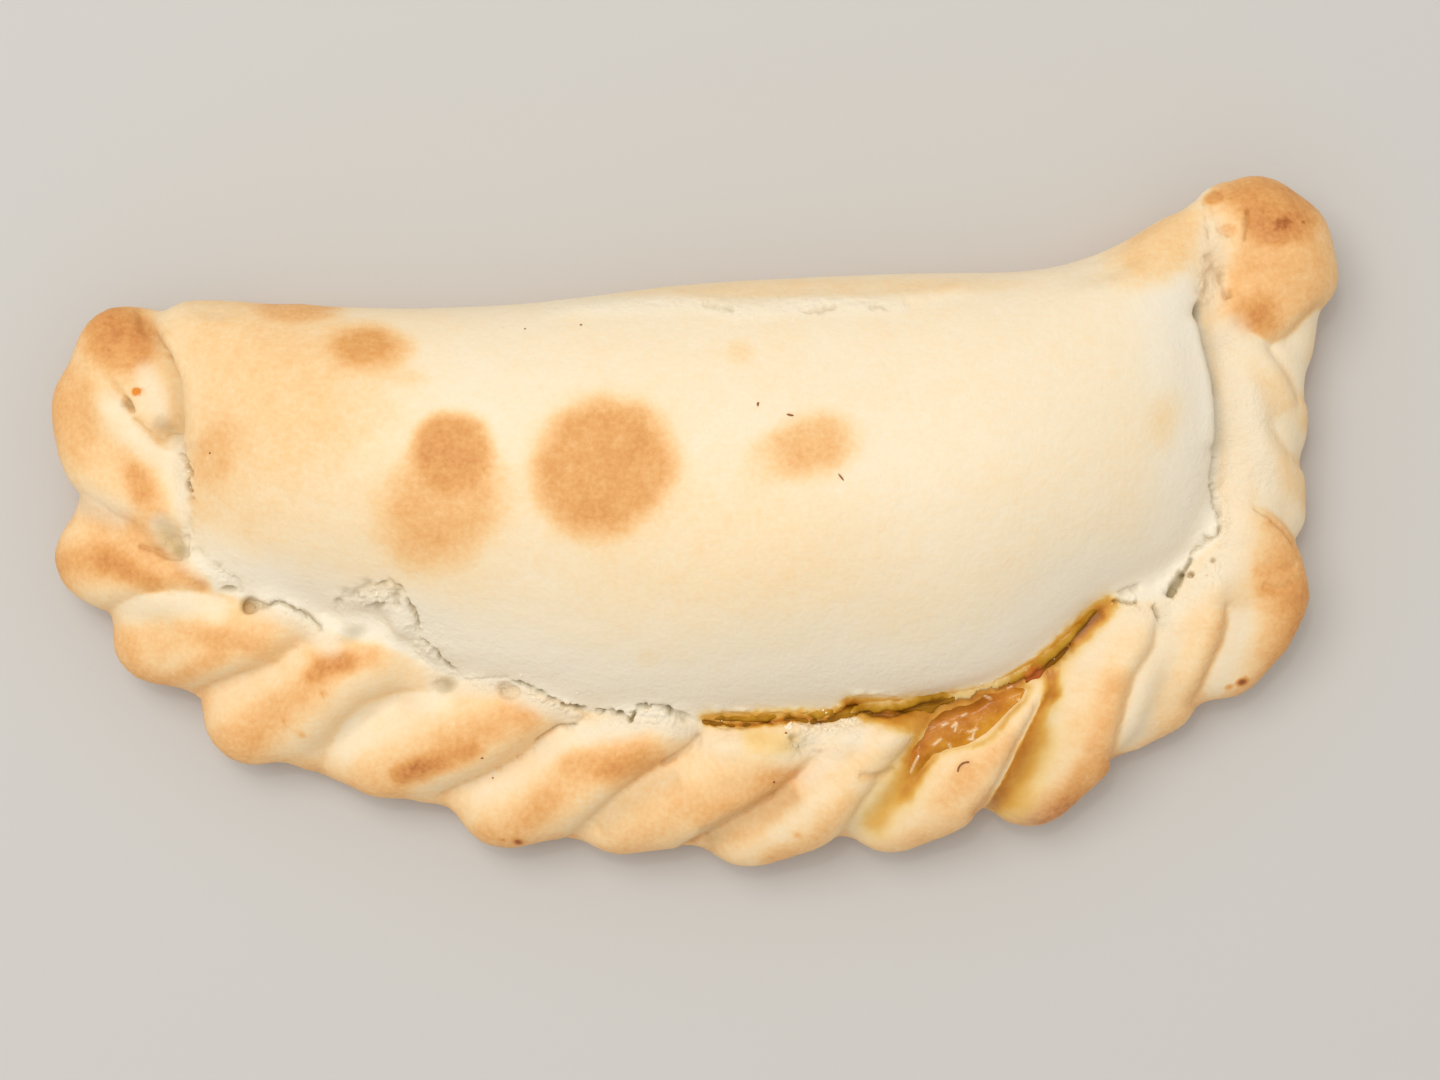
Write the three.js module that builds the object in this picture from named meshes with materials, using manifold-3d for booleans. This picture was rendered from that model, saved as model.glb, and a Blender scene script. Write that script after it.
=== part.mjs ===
// A large baked empanada: a disc of dough folded over its filling and sealed along the open edge
// with a rope of slanting folds that ends in a ball of dough. It is one solid, split at one stretch
// of the seam, where a pool of the filling has welled up.
// Millimetres, +Z up. The fold of the disc is along +Y and the rope along -Y. The origin is on the
// underside, below the middle of the plan.
import * as THREE from "three";
import { mergeVertices } from "three/addons/utils/BufferGeometryUtils.js";
import Module from "manifold-3d";

const wasm = await Module();
wasm.setup();

// ---------------------------------------------------------------- driving dimensions

// The filled body, from its widest level, the shoulder, up to its top and down to the tray.
const SHOULDER_HEIGHT = 10;
const BODY_RISE = 19.6;
const BODY_FLANK = { front: 0.64, back: 0.5, from: -18, to: 18 }; // a lower power makes a rounder flank
const BODY_BASE = { depth: 12, spread: 0.45, power: 0.6 }; // it is cut flat at the tray
const BODY_CENTRE = [14, 0]; // the whole outline is in sight from here
const BODY_SIDES = 72;
const BODY_RINGS = 22;
const TRAY_SLAB = [220, 160, 40]; // what cuts the underside flat

// Plan outline of the filled body, anticlockwise from the middle of the folded edge.
const BODY_OUTLINE = [
  [-2, 25.4],
  [-16, 23.6],
  [-30, 22.9],
  [-44, 23.3],
  [-56.6, 23.4],
  [-59, 18.4],
  [-56.4, 9],
  [-55.5, 0],
  [-52, -6.5],
  [-45, -9.2],
  [-35, -10.6],
  [-27, -16.4],
  [-14, -20],
  [0, -21.2],
  [14, -20.4],
  [27, -19.6],
  [36, -15.6],
  [44.5, -8.8],
  [53, -4.4],
  [56.6, 4],
  [56.8, 14],
  [55.4, 24],
  [57.8, 33],
  [52.8, 33.7],
  [46, 30],
  [38, 27.2],
  [24, 26.7],
  [11, 26.2],
];

// Low swells and hollows where the dough lies over lumps of filling.
const SWELLS = [
  { at: [-33, 2], radius: 12, rise: 0.8 },
  { at: [-10, 14], radius: 13, rise: 0.5 },
  { at: [10, -7], radius: 14, rise: 0.8 },
  { at: [33, 6], radius: 12, rise: 0.7 },
  { at: [-13, -9], radius: 10, rise: -0.6 },
  { at: [22, 16], radius: 10, rise: -0.5 },
];

// The folds of the rope, in the order in which they were made. Each is a flattened roll of dough
// whose centre line runs from its round outer end up to its tucked-in inner end. widths are its full
// width at both ends and between them, and tilt is how far its leading edge is lifted over the next
// fold, in degrees.
const FOLDS = [
  { line: [[-60.9, 17, 6.2], [-60, 13.6, 8.4], [-57, 9, 9.4]], widths: [13.4, 13, 11], tilt: 4 },
  { line: [[-63.6, 12, 5.4], [-61, 4.8, 7.8], [-55, 1.2, 9.4]], widths: [13, 12.6, 10], tilt: 16 },
  { line: [[-63.9, -3.8, 5.4], [-59.6, -4.7, 7.8], [-53, -6, 9.2]], widths: [11.2, 11.8, 10], tilt: 20 },
  { line: [[-57.8, -12.4, 5.2], [-52.6, -12, 7.8], [-43.6, -9.6, 9.8]], widths: [11, 11.6, 9], tilt: 24 },
  { line: [[-47.4, -20.4, 5.2], [-42.2, -17.4, 7.8], [-34.4, -12.4, 10]], widths: [12.4, 14, 12], tilt: 22 },
  { line: [[-33.2, -23.9, 5.2], [-27.2, -21.6, 7.8], [-18.6, -17.4, 10]], widths: [13, 14.4, 12], tilt: 24 },
  { line: [[-20, -29.6, 5.2], [-13.2, -26.2, 7.8], [-4.4, -20.6, 10]], widths: [12.4, 13.4, 11], tilt: 26 },
  { line: [[-7.7, -30.3, 5.2], [-0.8, -27.8, 7.8], [8.6, -21.6, 10]], widths: [12.4, 13.4, 11.5], tilt: 26 },
  { line: [[6.1, -31.6, 5.2], [12.4, -28.6, 7.8], [20.6, -21.4, 10]], widths: [12.4, 13.4, 11], tilt: 24 },
  { line: [[21.4, -30.2, 5.2], [27, -26.6, 7.8], [33.4, -18.6, 10]], widths: [12, 14, 12], tilt: 24 },
  { line: [[36.4, -27, 5.2], [40.7, -21.6, 7.8], [45.4, -11.4, 10]], widths: [12.6, 13.8, 13], tilt: 24 },
  { line: [[49.6, -18.4, 5.2], [52.2, -14.1, 7.6], [55, -7, 9.8]], widths: [10.4, 11.8, 9.6], tilt: 24 },
  { line: [[57, -13.4, 5.4], [59.8, -7.2, 7.6], [57.6, -1.4, 9.6]], widths: [12, 14, 12], tilt: 20 },
  { line: [[62, 0.8, 5.2], [61, 5.6, 7.8], [57.8, 14, 9.6]], widths: [9, 9.8, 8.6], tilt: 22 },
  { line: [[62.2, 9.6, 5.2], [61.4, 14.6, 7.6], [57.8, 21.6, 9.4]], widths: [9, 9.6, 8.8], tilt: 22 },
  { line: [[62.6, 16.2, 4.8], [63.6, 20, 5.2], [62.8, 24.6, 6]], widths: [7, 8.2, 8.4], tilt: 8 },
];
const FOLD_THICKNESS = 10;

// The core of the rope, under the folds, along the foot of their outer ends.
const CORE = {
  line: [
    [-58, 15, 5],
    [-63, 4, 4.4],
    [-61.6, -7.2, 4.4],
    [-54, -13.4, 4.4],
    [-41.8, -22.8, 4.4],
    [-28, -26.2, 4.4],
    [-14, -30.4, 4.4],
    [2, -31.1, 4.4],
    [17, -30, 4.4],
    [32.4, -26.4, 4.4],
    [46.6, -20.8, 4.4],
    [56, -12, 4.4],
    [61.6, 3, 4.4],
    [61.2, 15, 4.6],
    [61.6, 26, 5],
  ],
  widths: [9, 9, 9],
  thickness: 8,
  rings: 26,
  tilt: 0,
};

// The lip of dough along the seam, between the folds' inner ends and the body.
const LIP = {
  line: [
    [-57.6, 8, 10],
    [-57, 0, 10],
    [-53, -7.6, 10.4],
    [-45, -10.8, 10.6],
    [-35.6, -12.4, 10.8],
    [-27.4, -18, 10.8],
    [-14, -21.6, 10.8],
    [0, -22.8, 10.8],
    [14, -22, 10.8],
    [27.4, -21.2, 10.8],
    [37, -17, 10.8],
    [45.4, -10.2, 10.8],
    [54, -5.6, 10.6],
    [57.8, 4, 10.4],
    [58.2, 14, 10],
    [57, 24, 9],
  ],
  widths: [5, 5.4, 5],
  thickness: 5.4,
  rings: 32,
  tilt: 0,
};

// A torn flap of the crust that stands up from the body's flank.
const FLAP = {
  line: [[-38, -8.8, 14.8], [-32.4, -7.4, 19], [-30.4, -10.4, 16.9], [-27.2, -13.8, 14.9]],
  widths: [2, 3.4, 2],
  thickness: 2,
  rings: 7,
  tilt: 0,
};

// The flat sole, which runs under the middle of the rope's core and, at the back, under the body.
const SOLE = { back: [[52, 22], [26, 20], [-2, 20], [-30, 17], [-52, 16]], thickness: 4.4, sides: 60 };

// The ball of dough that closes the rope.
const BALL = {
  line: [[62.4, 25.6, 7.2], [62.9, 27.6, 7.6], [60.4, 30.8, 7.2]],
  widths: [12.8, 14.2, 13.2],
  thickness: 13.4,
  tilt: 0,
};

// The filling that has welled up in a split of the seam: a thin string all along the split, and a
// pool at its widest place.
const STRING = {
  line: [
    [0.8, -21.2, 11],
    [5.2, -21.4, 11.1],
    [9.7, -21, 11.1],
    [14.2, -20.9, 11.1],
    [18, -20.1, 11.2],
    [22.2, -19.7, 11.3],
    [26.6, -19.3, 11.4],
    [31.4, -18.2, 11.4],
    [36.6, -15.7, 11.4],
    [39.8, -12.8, 11.3],
    [43.2, -9.4, 11.2],
  ],
  widths: [1.4, 2, 1.6],
  thickness: 5,
  rings: 20,
  tilt: 0,
};
const POOL = {
  line: [[24.6, -24.2, 11.3], [28.9, -21.6, 11.6], [33.8, -18.4, 11.5]],
  widths: [2.8, 5.2, 4.2],
  thickness: 5,
  tilt: 0,
};
const FILLING_GAP = 0.35; // clear space all round the filling
const SPLIT_OPENS = [0, 1.8, 3.6]; // the split is cut at these heights above the filling too

// Small holes where the seam has torn: round shafts that end in a rounded floor.
const HOLES = [
  { at: [-47.4, -9.3], floor: 11.6, radius: 1 },
  { at: [-55.8, -2.6], floor: 10.8, radius: 1.2 },
  { at: [-61, 12.4], floor: 11.8, radius: 0.6 },
  { at: [-27.4, -17.6], floor: 11.8, radius: 1 },
  { at: [-20.2, -18.3], floor: 12.4, radius: 1 },
  { at: [51.2, -7.6], floor: 10.2, radius: 0.9 },
  { at: [54.6, 22.4], floor: 11, radius: 0.7 },
];
const HOLE_DEPTH = 14;
const HOLE_SIDES = 8;
const HOLE_CAP_RINGS = 3;

const ROLL_SIDES = 12;
const ROLL_CAP_RINGS = 4;
const ROLL_RINGS = 4;
const SAME_PLACE = 1e-4; // vertices closer together than this are one

// ---------------------------------------------------------------- geometry helpers

// A geometry whose triangles share their vertices.
function merged(geometry) {
  const bare = geometry.clone();
  bare.deleteAttribute("normal");
  bare.deleteAttribute("uv");
  return mergeVertices(bare, SAME_PLACE);
}

// A three.js geometry as a manifold-3d solid.
function solidOf(geometry) {
  const { attributes, index } = merged(geometry);
  const made = new wasm.Manifold(
    new wasm.Mesh({
      numProp: 3,
      vertProperties: attributes.position.array,
      triVerts: new Uint32Array(index.array),
    }),
  );
  if (made.volume() <= 0) throw new Error("a piece is inside out");
  return made;
}

function geometryOf(solid) {
  const { vertProperties, triVerts } = solid.getMesh();
  const geometry = new THREE.BufferGeometry();
  geometry.setAttribute("position", new THREE.BufferAttribute(vertProperties, 3));
  geometry.setIndex(new THREE.BufferAttribute(triVerts, 1));
  geometry.computeVertexNormals();
  return geometry;
}

// Moves every vertex of a geometry to where the function says.
function reshape(geometry, place) {
  const position = geometry.attributes.position;
  const vertex = new THREE.Vector3();
  for (let i = 0; i < position.count; i++) {
    place(vertex.fromBufferAttribute(position, i));
    position.setXYZ(i, vertex.x, vertex.y, vertex.z);
  }
  return geometry;
}

// ---------------------------------------------------------------- the filled body

const outline = new THREE.CatmullRomCurve3(
  BODY_OUTLINE.map(([x, y]) => new THREE.Vector3(x, y, 0)),
  true,
  "centripetal",
);
const EQUATOR = 1e-6; // how near to the middle of the ball a vertex counts as on its equator
const RELAX_ROUNDS = 400;
const RELAX_STRIDE = 1.8; // above 1, so that the heights settle sooner

function swellAt(x, y) {
  return SWELLS.reduce((sum, { at, radius, rise }) => {
    const away = Math.hypot(x - at[0], y - at[1]) / radius;
    return sum + rise * Math.exp(-away * away);
  }, 0);
}

// How high a thin skin stands when it is blown up over the plan of the upper half, for every vertex:
// 0 along the edge, 1 at the top. It solves the membrane equation on the plan's triangles.
function blownHeights(plan, triangles, isInside) {
  const heights = new Float64Array(plan.length);
  const load = new Float64Array(plan.length);
  const pulls = plan.map(() => new Map());
  for (const triangle of triangles) {
    triangle.forEach((corner, k) => {
      const [a, b] = [triangle[(k + 1) % 3], triangle[(k + 2) % 3]];
      const toA = plan[a].clone().sub(plan[corner]);
      const toB = plan[b].clone().sub(plan[corner]);
      const doubleArea = Math.abs(toA.cross(toB));
      const pull = toA.dot(toB) / doubleArea / 2;
      pulls[a].set(b, (pulls[a].get(b) ?? 0) + pull);
      pulls[b].set(a, (pulls[b].get(a) ?? 0) + pull);
      load[corner] += doubleArea / 6;
    });
  }
  for (let round = 0; round < RELAX_ROUNDS; round++) {
    for (let i = 0; i < plan.length; i++) {
      if (!isInside[i]) continue;
      let pulled = load[i];
      let total = 0;
      for (const [j, pull] of pulls[i]) {
        pulled += pull * heights[j];
        total += pull;
      }
      heights[i] += RELAX_STRIDE * (pulled / total - heights[i]);
    }
  }
  const top = Math.max(...heights);
  return Array.from(heights, (height, i) => {
    const { front, back, from, to } = BODY_FLANK;
    const power = THREE.MathUtils.lerp(front, back, THREE.MathUtils.smoothstep(plan[i].y, from, to));
    return Math.pow(Math.max(0, height) / top, power);
  });
}

// The body is a ball whose equator follows the outline at shoulder height. Its upper half is blown
// up, and its lower half is flattened on to the tray.
function bodyGeometry() {
  const ball = merged(new THREE.SphereGeometry(1, BODY_SIDES, BODY_RINGS));
  const position = ball.attributes.position;
  const centre = new THREE.Vector2(...BODY_CENTRE);
  const sky = Array.from({ length: position.count }, (_, i) => position.getY(i));
  const plan = sky.map((up, i) => {
    const reach = Math.hypot(position.getX(i), position.getZ(i)); // 0 at a pole, 1 at the equator
    const turn = (Math.atan2(-position.getZ(i), position.getX(i)) / (2 * Math.PI) + 1) % 1;
    const edge = outline.getPoint(turn);
    return centre.clone().lerp(edge, up > 0 ? reach : Math.pow(reach, BODY_BASE.spread));
  });
  const isInside = sky.map((up) => up > EQUATOR);
  const triangles = [];
  for (let i = 0; i < ball.index.count; i += 3) {
    const triangle = [0, 1, 2].map((k) => ball.index.getX(i + k));
    if (triangle.every((corner) => sky[corner] > -EQUATOR)) triangles.push(triangle);
  }
  const blown = blownHeights(plan, triangles, isInside);
  plan.forEach(({ x, y }, i) => {
    const z = isInside[i]
      ? SHOULDER_HEIGHT + (BODY_RISE + swellAt(x, y)) * blown[i]
      : SHOULDER_HEIGHT - BODY_BASE.depth * Math.pow(Math.max(0, -sky[i]), BODY_BASE.power);
    position.setXYZ(i, x, y, z);
  });
  return ball;
}

// ---------------------------------------------------------------- the rope of folds

// A roll of dough with round ends: a capsule laid along a curve, flattened and tilted.
function rollGeometry({ line, widths, thickness = FOLD_THICKNESS, tilt, rings = ROLL_RINGS }) {
  const curve = new THREE.CatmullRomCurve3(line.map((p) => new THREE.Vector3(...p)));
  const length = curve.getLength();
  const capsule = new THREE.CapsuleGeometry(1, length, ROLL_CAP_RINGS, ROLL_SIDES, rings);
  const up = new THREE.Vector3(0, 0, 1);
  return reshape(capsule, (v) => {
    const along = THREE.MathUtils.clamp(v.y / length + 0.5, 0, 1);
    const beyond = v.y - THREE.MathUtils.clamp(v.y, -length / 2, length / 2);
    const centre = curve.getPointAt(along);
    const level = curve.getTangentAt(along).setZ(0).normalize();
    const side = level.clone().cross(up).applyAxisAngle(level, -THREE.MathUtils.degToRad(tilt));
    const lift = side.clone().cross(level);
    const half = widthAt(widths, along) / 2;
    v.set(v.x * half, beyond * half, (v.z * thickness) / 2);
    const { x: across, y: past, z: high } = v;
    v.copy(centre).addScaledVector(side, across).addScaledVector(lift, high).addScaledVector(level, past);
  });
}

// The width of a roll part of the way along it, on a parabola through its three widths.
function widthAt([outer, middle, inner], along) {
  const bow = middle - (outer + inner) / 2;
  return THREE.MathUtils.lerp(outer, inner, along) + bow * 4 * along * (1 - along);
}

// ---------------------------------------------------------------- assembly

function tray() {
  const box = new THREE.BoxGeometry(...TRAY_SLAB);
  box.translate(0, 0, -TRAY_SLAB[2] / 2);
  return solidOf(box);
}

function sole() {
  const round = [...CORE.line, ...SOLE.back].map(([x, y]) => new THREE.Vector3(x, y, 0));
  const edge = new THREE.CatmullRomCurve3(round, true, "centripetal").getPoints(SOLE.sides).slice(0, -1);
  const depth = SOLE.thickness;
  return solidOf(new THREE.ExtrudeGeometry(new THREE.Shape(edge), { depth, bevelEnabled: false }));
}

function crustSolid() {
  const rolls = [...FOLDS, CORE, LIP, FLAP, BALL].map((roll) => solidOf(rollGeometry(roll)));
  const dough = [...rolls, sole()].reduce((whole, next) => whole.add(next), solidOf(bodyGeometry()));
  const cut = [tray(), ...HOLES.map(hole), ...pocket()].reduce((all, next) => all.add(next));
  return largestShell(dough.subtract(cut));
}

function hole({ at: [x, y], floor, radius }) {
  const shaft = new THREE.CapsuleGeometry(radius, HOLE_DEPTH, HOLE_CAP_RINGS, HOLE_SIDES, 1);
  shaft.rotateX(Math.PI / 2);
  shaft.translate(x, y, floor + radius + HOLE_DEPTH / 2);
  return solidOf(shaft);
}

function fillingSolid() {
  return solidOf(rollGeometry(STRING)).add(solidOf(rollGeometry(POOL)));
}

// The room that the split leaves for the filling, open upwards.
function pocket() {
  const wider = (roll) => ({
    ...roll,
    widths: roll.widths.map((width) => width + 2 * FILLING_GAP),
    thickness: roll.thickness + 2 * FILLING_GAP,
  });
  const rooms = [STRING, POOL].map((roll) => rollGeometry(wider(roll)));
  return SPLIT_OPENS.flatMap((rise) => rooms.map((room) => solidOf(room.clone().translate(0, 0, rise))));
}

// The largest of a solid's separate shells: a sealed hollow is filled and a loose scrap dropped.
function largestShell(solid) {
  return solid.decompose().reduce((best, shell) => (shell.volume() > best.volume() ? shell : best));
}

// ---------------------------------------------------------------- materials and scene graph

const bakedDough = new THREE.MeshStandardMaterial({ color: 0xf3dcb0, roughness: 0.7, metalness: 0 });
const stewJelly = new THREE.MeshStandardMaterial({ color: 0xb8742c, roughness: 0.25, metalness: 0 });

const empanada = new THREE.Group();

function addPiece(name, solid, material) {
  const piece = new THREE.Mesh(geometryOf(solid), material);
  piece.name = name;
  empanada.add(piece);
}

addPiece("crust", crustSolid(), bakedDough);
addPiece("filling", fillingSolid(), stewJelly);

const middle = new THREE.Box3().setFromObject(empanada).getCenter(new THREE.Vector3());
empanada.position.set(-middle.x, -middle.y, 0);

export default empanada;
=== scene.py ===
import math
import random
from collections import namedtuple

import bmesh
import bpy
import numpy as np
from mathutils import Matrix, Vector, noise
from mathutils.bvhtree import BVHTree


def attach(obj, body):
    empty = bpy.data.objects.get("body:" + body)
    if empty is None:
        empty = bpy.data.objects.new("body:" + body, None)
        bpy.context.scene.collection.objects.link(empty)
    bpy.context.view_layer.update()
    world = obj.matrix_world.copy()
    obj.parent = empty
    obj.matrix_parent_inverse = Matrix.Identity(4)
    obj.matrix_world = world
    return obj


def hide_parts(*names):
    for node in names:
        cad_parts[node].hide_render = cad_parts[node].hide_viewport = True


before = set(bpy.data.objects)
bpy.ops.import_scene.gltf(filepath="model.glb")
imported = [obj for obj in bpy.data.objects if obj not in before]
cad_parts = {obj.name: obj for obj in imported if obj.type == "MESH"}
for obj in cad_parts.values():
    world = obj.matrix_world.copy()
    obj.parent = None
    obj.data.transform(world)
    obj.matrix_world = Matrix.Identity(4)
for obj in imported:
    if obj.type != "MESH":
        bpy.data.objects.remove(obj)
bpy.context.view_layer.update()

# The finish of a large baked empanada: pale dough browned in spots and along the crests of its rope,
# torn white where the seam has pulled, with set stew juice welling up through a split.
# Metres, +Z up. Places on the top are given as pixels of the camera's frame, FRAME_WIDE by FRAME_HIGH,
# across and down, and lie on the surface that the camera sees there.

MM = 0.001
ROOT = "root"

Ellipse = namedtuple("Ellipse", "at radii turn")


def table(columns, usual, rows):
    """Rows of values under the names of their columns, whose last values may be left out as usual."""
    row_of = namedtuple("Row", columns, defaults=usual)
    return [row_of(*row) for row in rows]


# ------------------------------------------------------------------ the camera and its frame

FRAME_WIDE = 1440
FRAME_HIGH = 1080
CAMERA_AT = Vector((2.84 * MM, -1.92 * MM, 400 * MM))
SENSOR_WIDE = 36.0
LENS = 90.63
FOCAL = LENS / SENSOR_WIDE * FRAME_WIDE  # pixels
PIXEL = 0.1087 * MM  # how wide a pixel is at the height of the seam

# ------------------------------------------------------------------ soft noises

SEED_STEP = 17.3  # how far apart two seeds lie in the noise
noise.seed_set(5)  # the scraps' and flecks' rough shapes are the same in every run

# How wide the lumps of each are, in pixels, and its seed.
BROAD_DRIFT = (11, 1)
FINE_DRIFT = (4, 3)
CRACK_DRIFT = (9, 13)
COARSE_CRUMBS = (7, 15)
FINE_CRUMBS = (3.2, 16)
POOL_DRIFT = (8, 17)
BREAKS = (10, 19)

# And in metres.
PATCHY = (7 * MM, 5)
GRAINY = (2.2 * MM, 6)
TORN = (0.8 * MM, 7)
BROAD_SWAY = (14 * MM, 8)
FINE_SWAY = (4 * MM, 9)
JUICE_LUMPS = (1.5 * MM, 11)
JUICE_GRAIN = (0.6 * MM, 12)
FRAYED = (0.9 * MM, 21)
FINELY_FRAYED = (0.4 * MM, 22)

# ------------------------------------------------------------------ the crust's shape

CRUST_VOXEL = 0.72 * MM
MERGE_WITHIN = 0.001 * MM
BASE_BELOW = 0.05 * MM  # the height within which the flat underside lies
BASE_ANGLE = math.radians(2)
FIRST_SMOOTHING = 4
FACET_SMOOTHING = 26
REGAIN_SMOOTHING = 14  # how widely the height that smoothing took is spread when it is given back
HOLLOW_FROM = 0.02  # how hollow a crease is, bend by voxel, before smoothing spares it
HOLLOW_TO = 0.12
SPARED_SHARE = 0.85  # how much of the smoothing such a crease is spared
TOP_FACING = (-0.05, 0.2)  # how far up a point faces, from the flanks' undersides to what shows from above
UNDERSIDE_FACING = -0.5
ROPE_SWELL = 0.35  # how much fuller the rope is than its solid, in millimetres
ROPE_SWELL_REACH = (8, 40)  # pixels from the seam over which it swells
NOTCH_STEEP = 0.7  # how wide the two sides of a crease's cut are, by its width
NOTCH_GENTLE = 1.8
CREST_WIDTH = 0.6  # how wide a crest is, by how far it lies behind its crease
CREASE_START = (-0.05, 0.2)  # the stretches of a crease over which its crest rises and falls
CREASE_END = (0.85, 1.0)
BROKEN_FROM = 2.5  # a furrow more ragged than this comes and goes along its line
LIT_SHARE = 0.8  # how much less shade is painted into a hole on its lit side
CRUMB_SWELL = 2.2  # how high crumbs stand, by the height given for their area
BROAD_SWAY_RISE = 0.16  # how uneven the dough is, in millimetres
FINE_SWAY_RISE = 0.05
BED_SWELL = 0.5 * MM  # closes the gap round the filling with a bed of soaked dough
BED_SINK = 0.9 * MM  # how far that bed lies below the juice
JUICE_VOXEL = 0.17 * MM
JUICE_SWELL = 0.15 * MM
POOL_LEVEL = 12.4 * MM  # the height above which the juice of the pool has settled
POOL_FLATNESS = 0.3
POOL_TOP = 12.95 * MM
POOL_BOTTOM = 11.0 * MM
POOL_THICK = 1.2  # how thick the pool is within POOL_BRIM pixels of its edge, in millimetres
POOL_BRIM = 12
POOL_EDGE_SINK = 0.1  # how far the pool's edge sinks into the crust, in millimetres
POOL_SOFT_EDGE = 6  # pixels outside the pool over which it passes into the string
POOL_FROM = (22.5 * MM, 25.5 * MM)  # where the pool begins and ends along the empanada
POOL_TO = (34 * MM, 38 * MM)

# The seam between the body and the rope, from the left corner round to the ball, with the rope on its
# right.
SEAM = [(140, 300), (150, 338), (166, 360), (177, 385), (178, 450), (190, 490), (186, 552), (215, 588),
        (270, 604), (325, 630), (400, 650), (455, 678), (520, 686), (596, 712), (700, 721), (745, 721),
        (800, 716), (860, 705), (940, 700), (1010, 680), (1060, 640), (1110, 602), (1165, 598),
        (1192, 560), (1218, 538), (1221, 515), (1214, 485), (1217, 460), (1218, 400), (1200, 325),
        (1197, 303), (1203, 262), (1204, 222), (1210, 180)]

# The creases between the folds of the rope, each from its notch in the outline up to the seam, with the
# fold that overlaps on its left. depth is how far the crease is cut in and crest how far the
# overlapping fold stands up, in millimetres; soft is the width of the cut and back how far behind it
# the crest lies, in pixels. valley is how brown the dough is beyond the crease.
CREASES = table("line depth crest soft back valley", [0.12], [
    ([(100, 375), (112, 388), (124, 402), (131, 415), (145, 430), (160, 445), (181, 456)], 0.7, 0.15, 4, 14),
    ([(67, 490), (86, 497), (108, 513), (134, 527), (152, 547), (168, 556), (184, 558)],
     0.8, 0.35, 10, 26, 0.42),
    ([(102, 618), (118, 604), (142, 594), (172, 590), (205, 593), (236, 602)], 0.8, 0.35, 6, 22),
    ([(197, 693), (214, 684), (236, 677), (258, 671), (274, 665), (286, 655), (304, 641)],
     1.2, 0.5, 5, 20, 0.22),
    ([(318, 776), (328, 750), (344, 722), (368, 703), (398, 693), (430, 691), (456, 684)], 0.8, 0.5, 9, 30),
    ([(440, 797), (462, 785), (484, 776), (512, 762), (538, 743), (562, 727), (592, 719)], 1.2, 0.5, 5, 22),
    ([(567, 842), (592, 820), (616, 797), (640, 778), (664, 762), (686, 748), (702, 732)],
     1.2, 0.5, 5, 22, 0.26),
    ([(683, 847), (708, 832), (728, 821), (752, 808), (778, 792), (796, 776), (816, 758)],
     1.3, 0.4, 4, 12, 0.32),
    ([(838, 842), (850, 826), (864, 803), (880, 782), (898, 762), (914, 742)], 1, 0.4, 6, 20),
    ([(976, 815), (990, 800), (1004, 777), (1018, 748), (1030, 724), (1041, 702)], 1.4, 0.3, 4, 16),
    ([(1112, 763), (1120, 735), (1127, 705), (1137, 674), (1154, 650), (1160, 624)], 1.2, 0.5, 4, 16),
    ([(1192, 707), (1202, 688), (1213, 664), (1223, 644), (1229, 622), (1228, 604)], 1.2, 0.5, 4, 16),
    ([(1301, 552), (1293, 535), (1282, 520), (1268, 510), (1250, 503)], 0.45, 0.1, 3, 8),
    ([(1304, 467), (1290, 452), (1279, 438), (1268, 420)], 0.9, 0.2, 6, 16),
    ([(1302, 404), (1293, 382), (1282, 362), (1270, 344)], 1, 0.2, 5, 12),
    ([(1236, 318), (1251, 331), (1272, 344), (1289, 338), (1304, 320), (1322, 304)], 0.9, 0.2, 5, 14),
])
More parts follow.
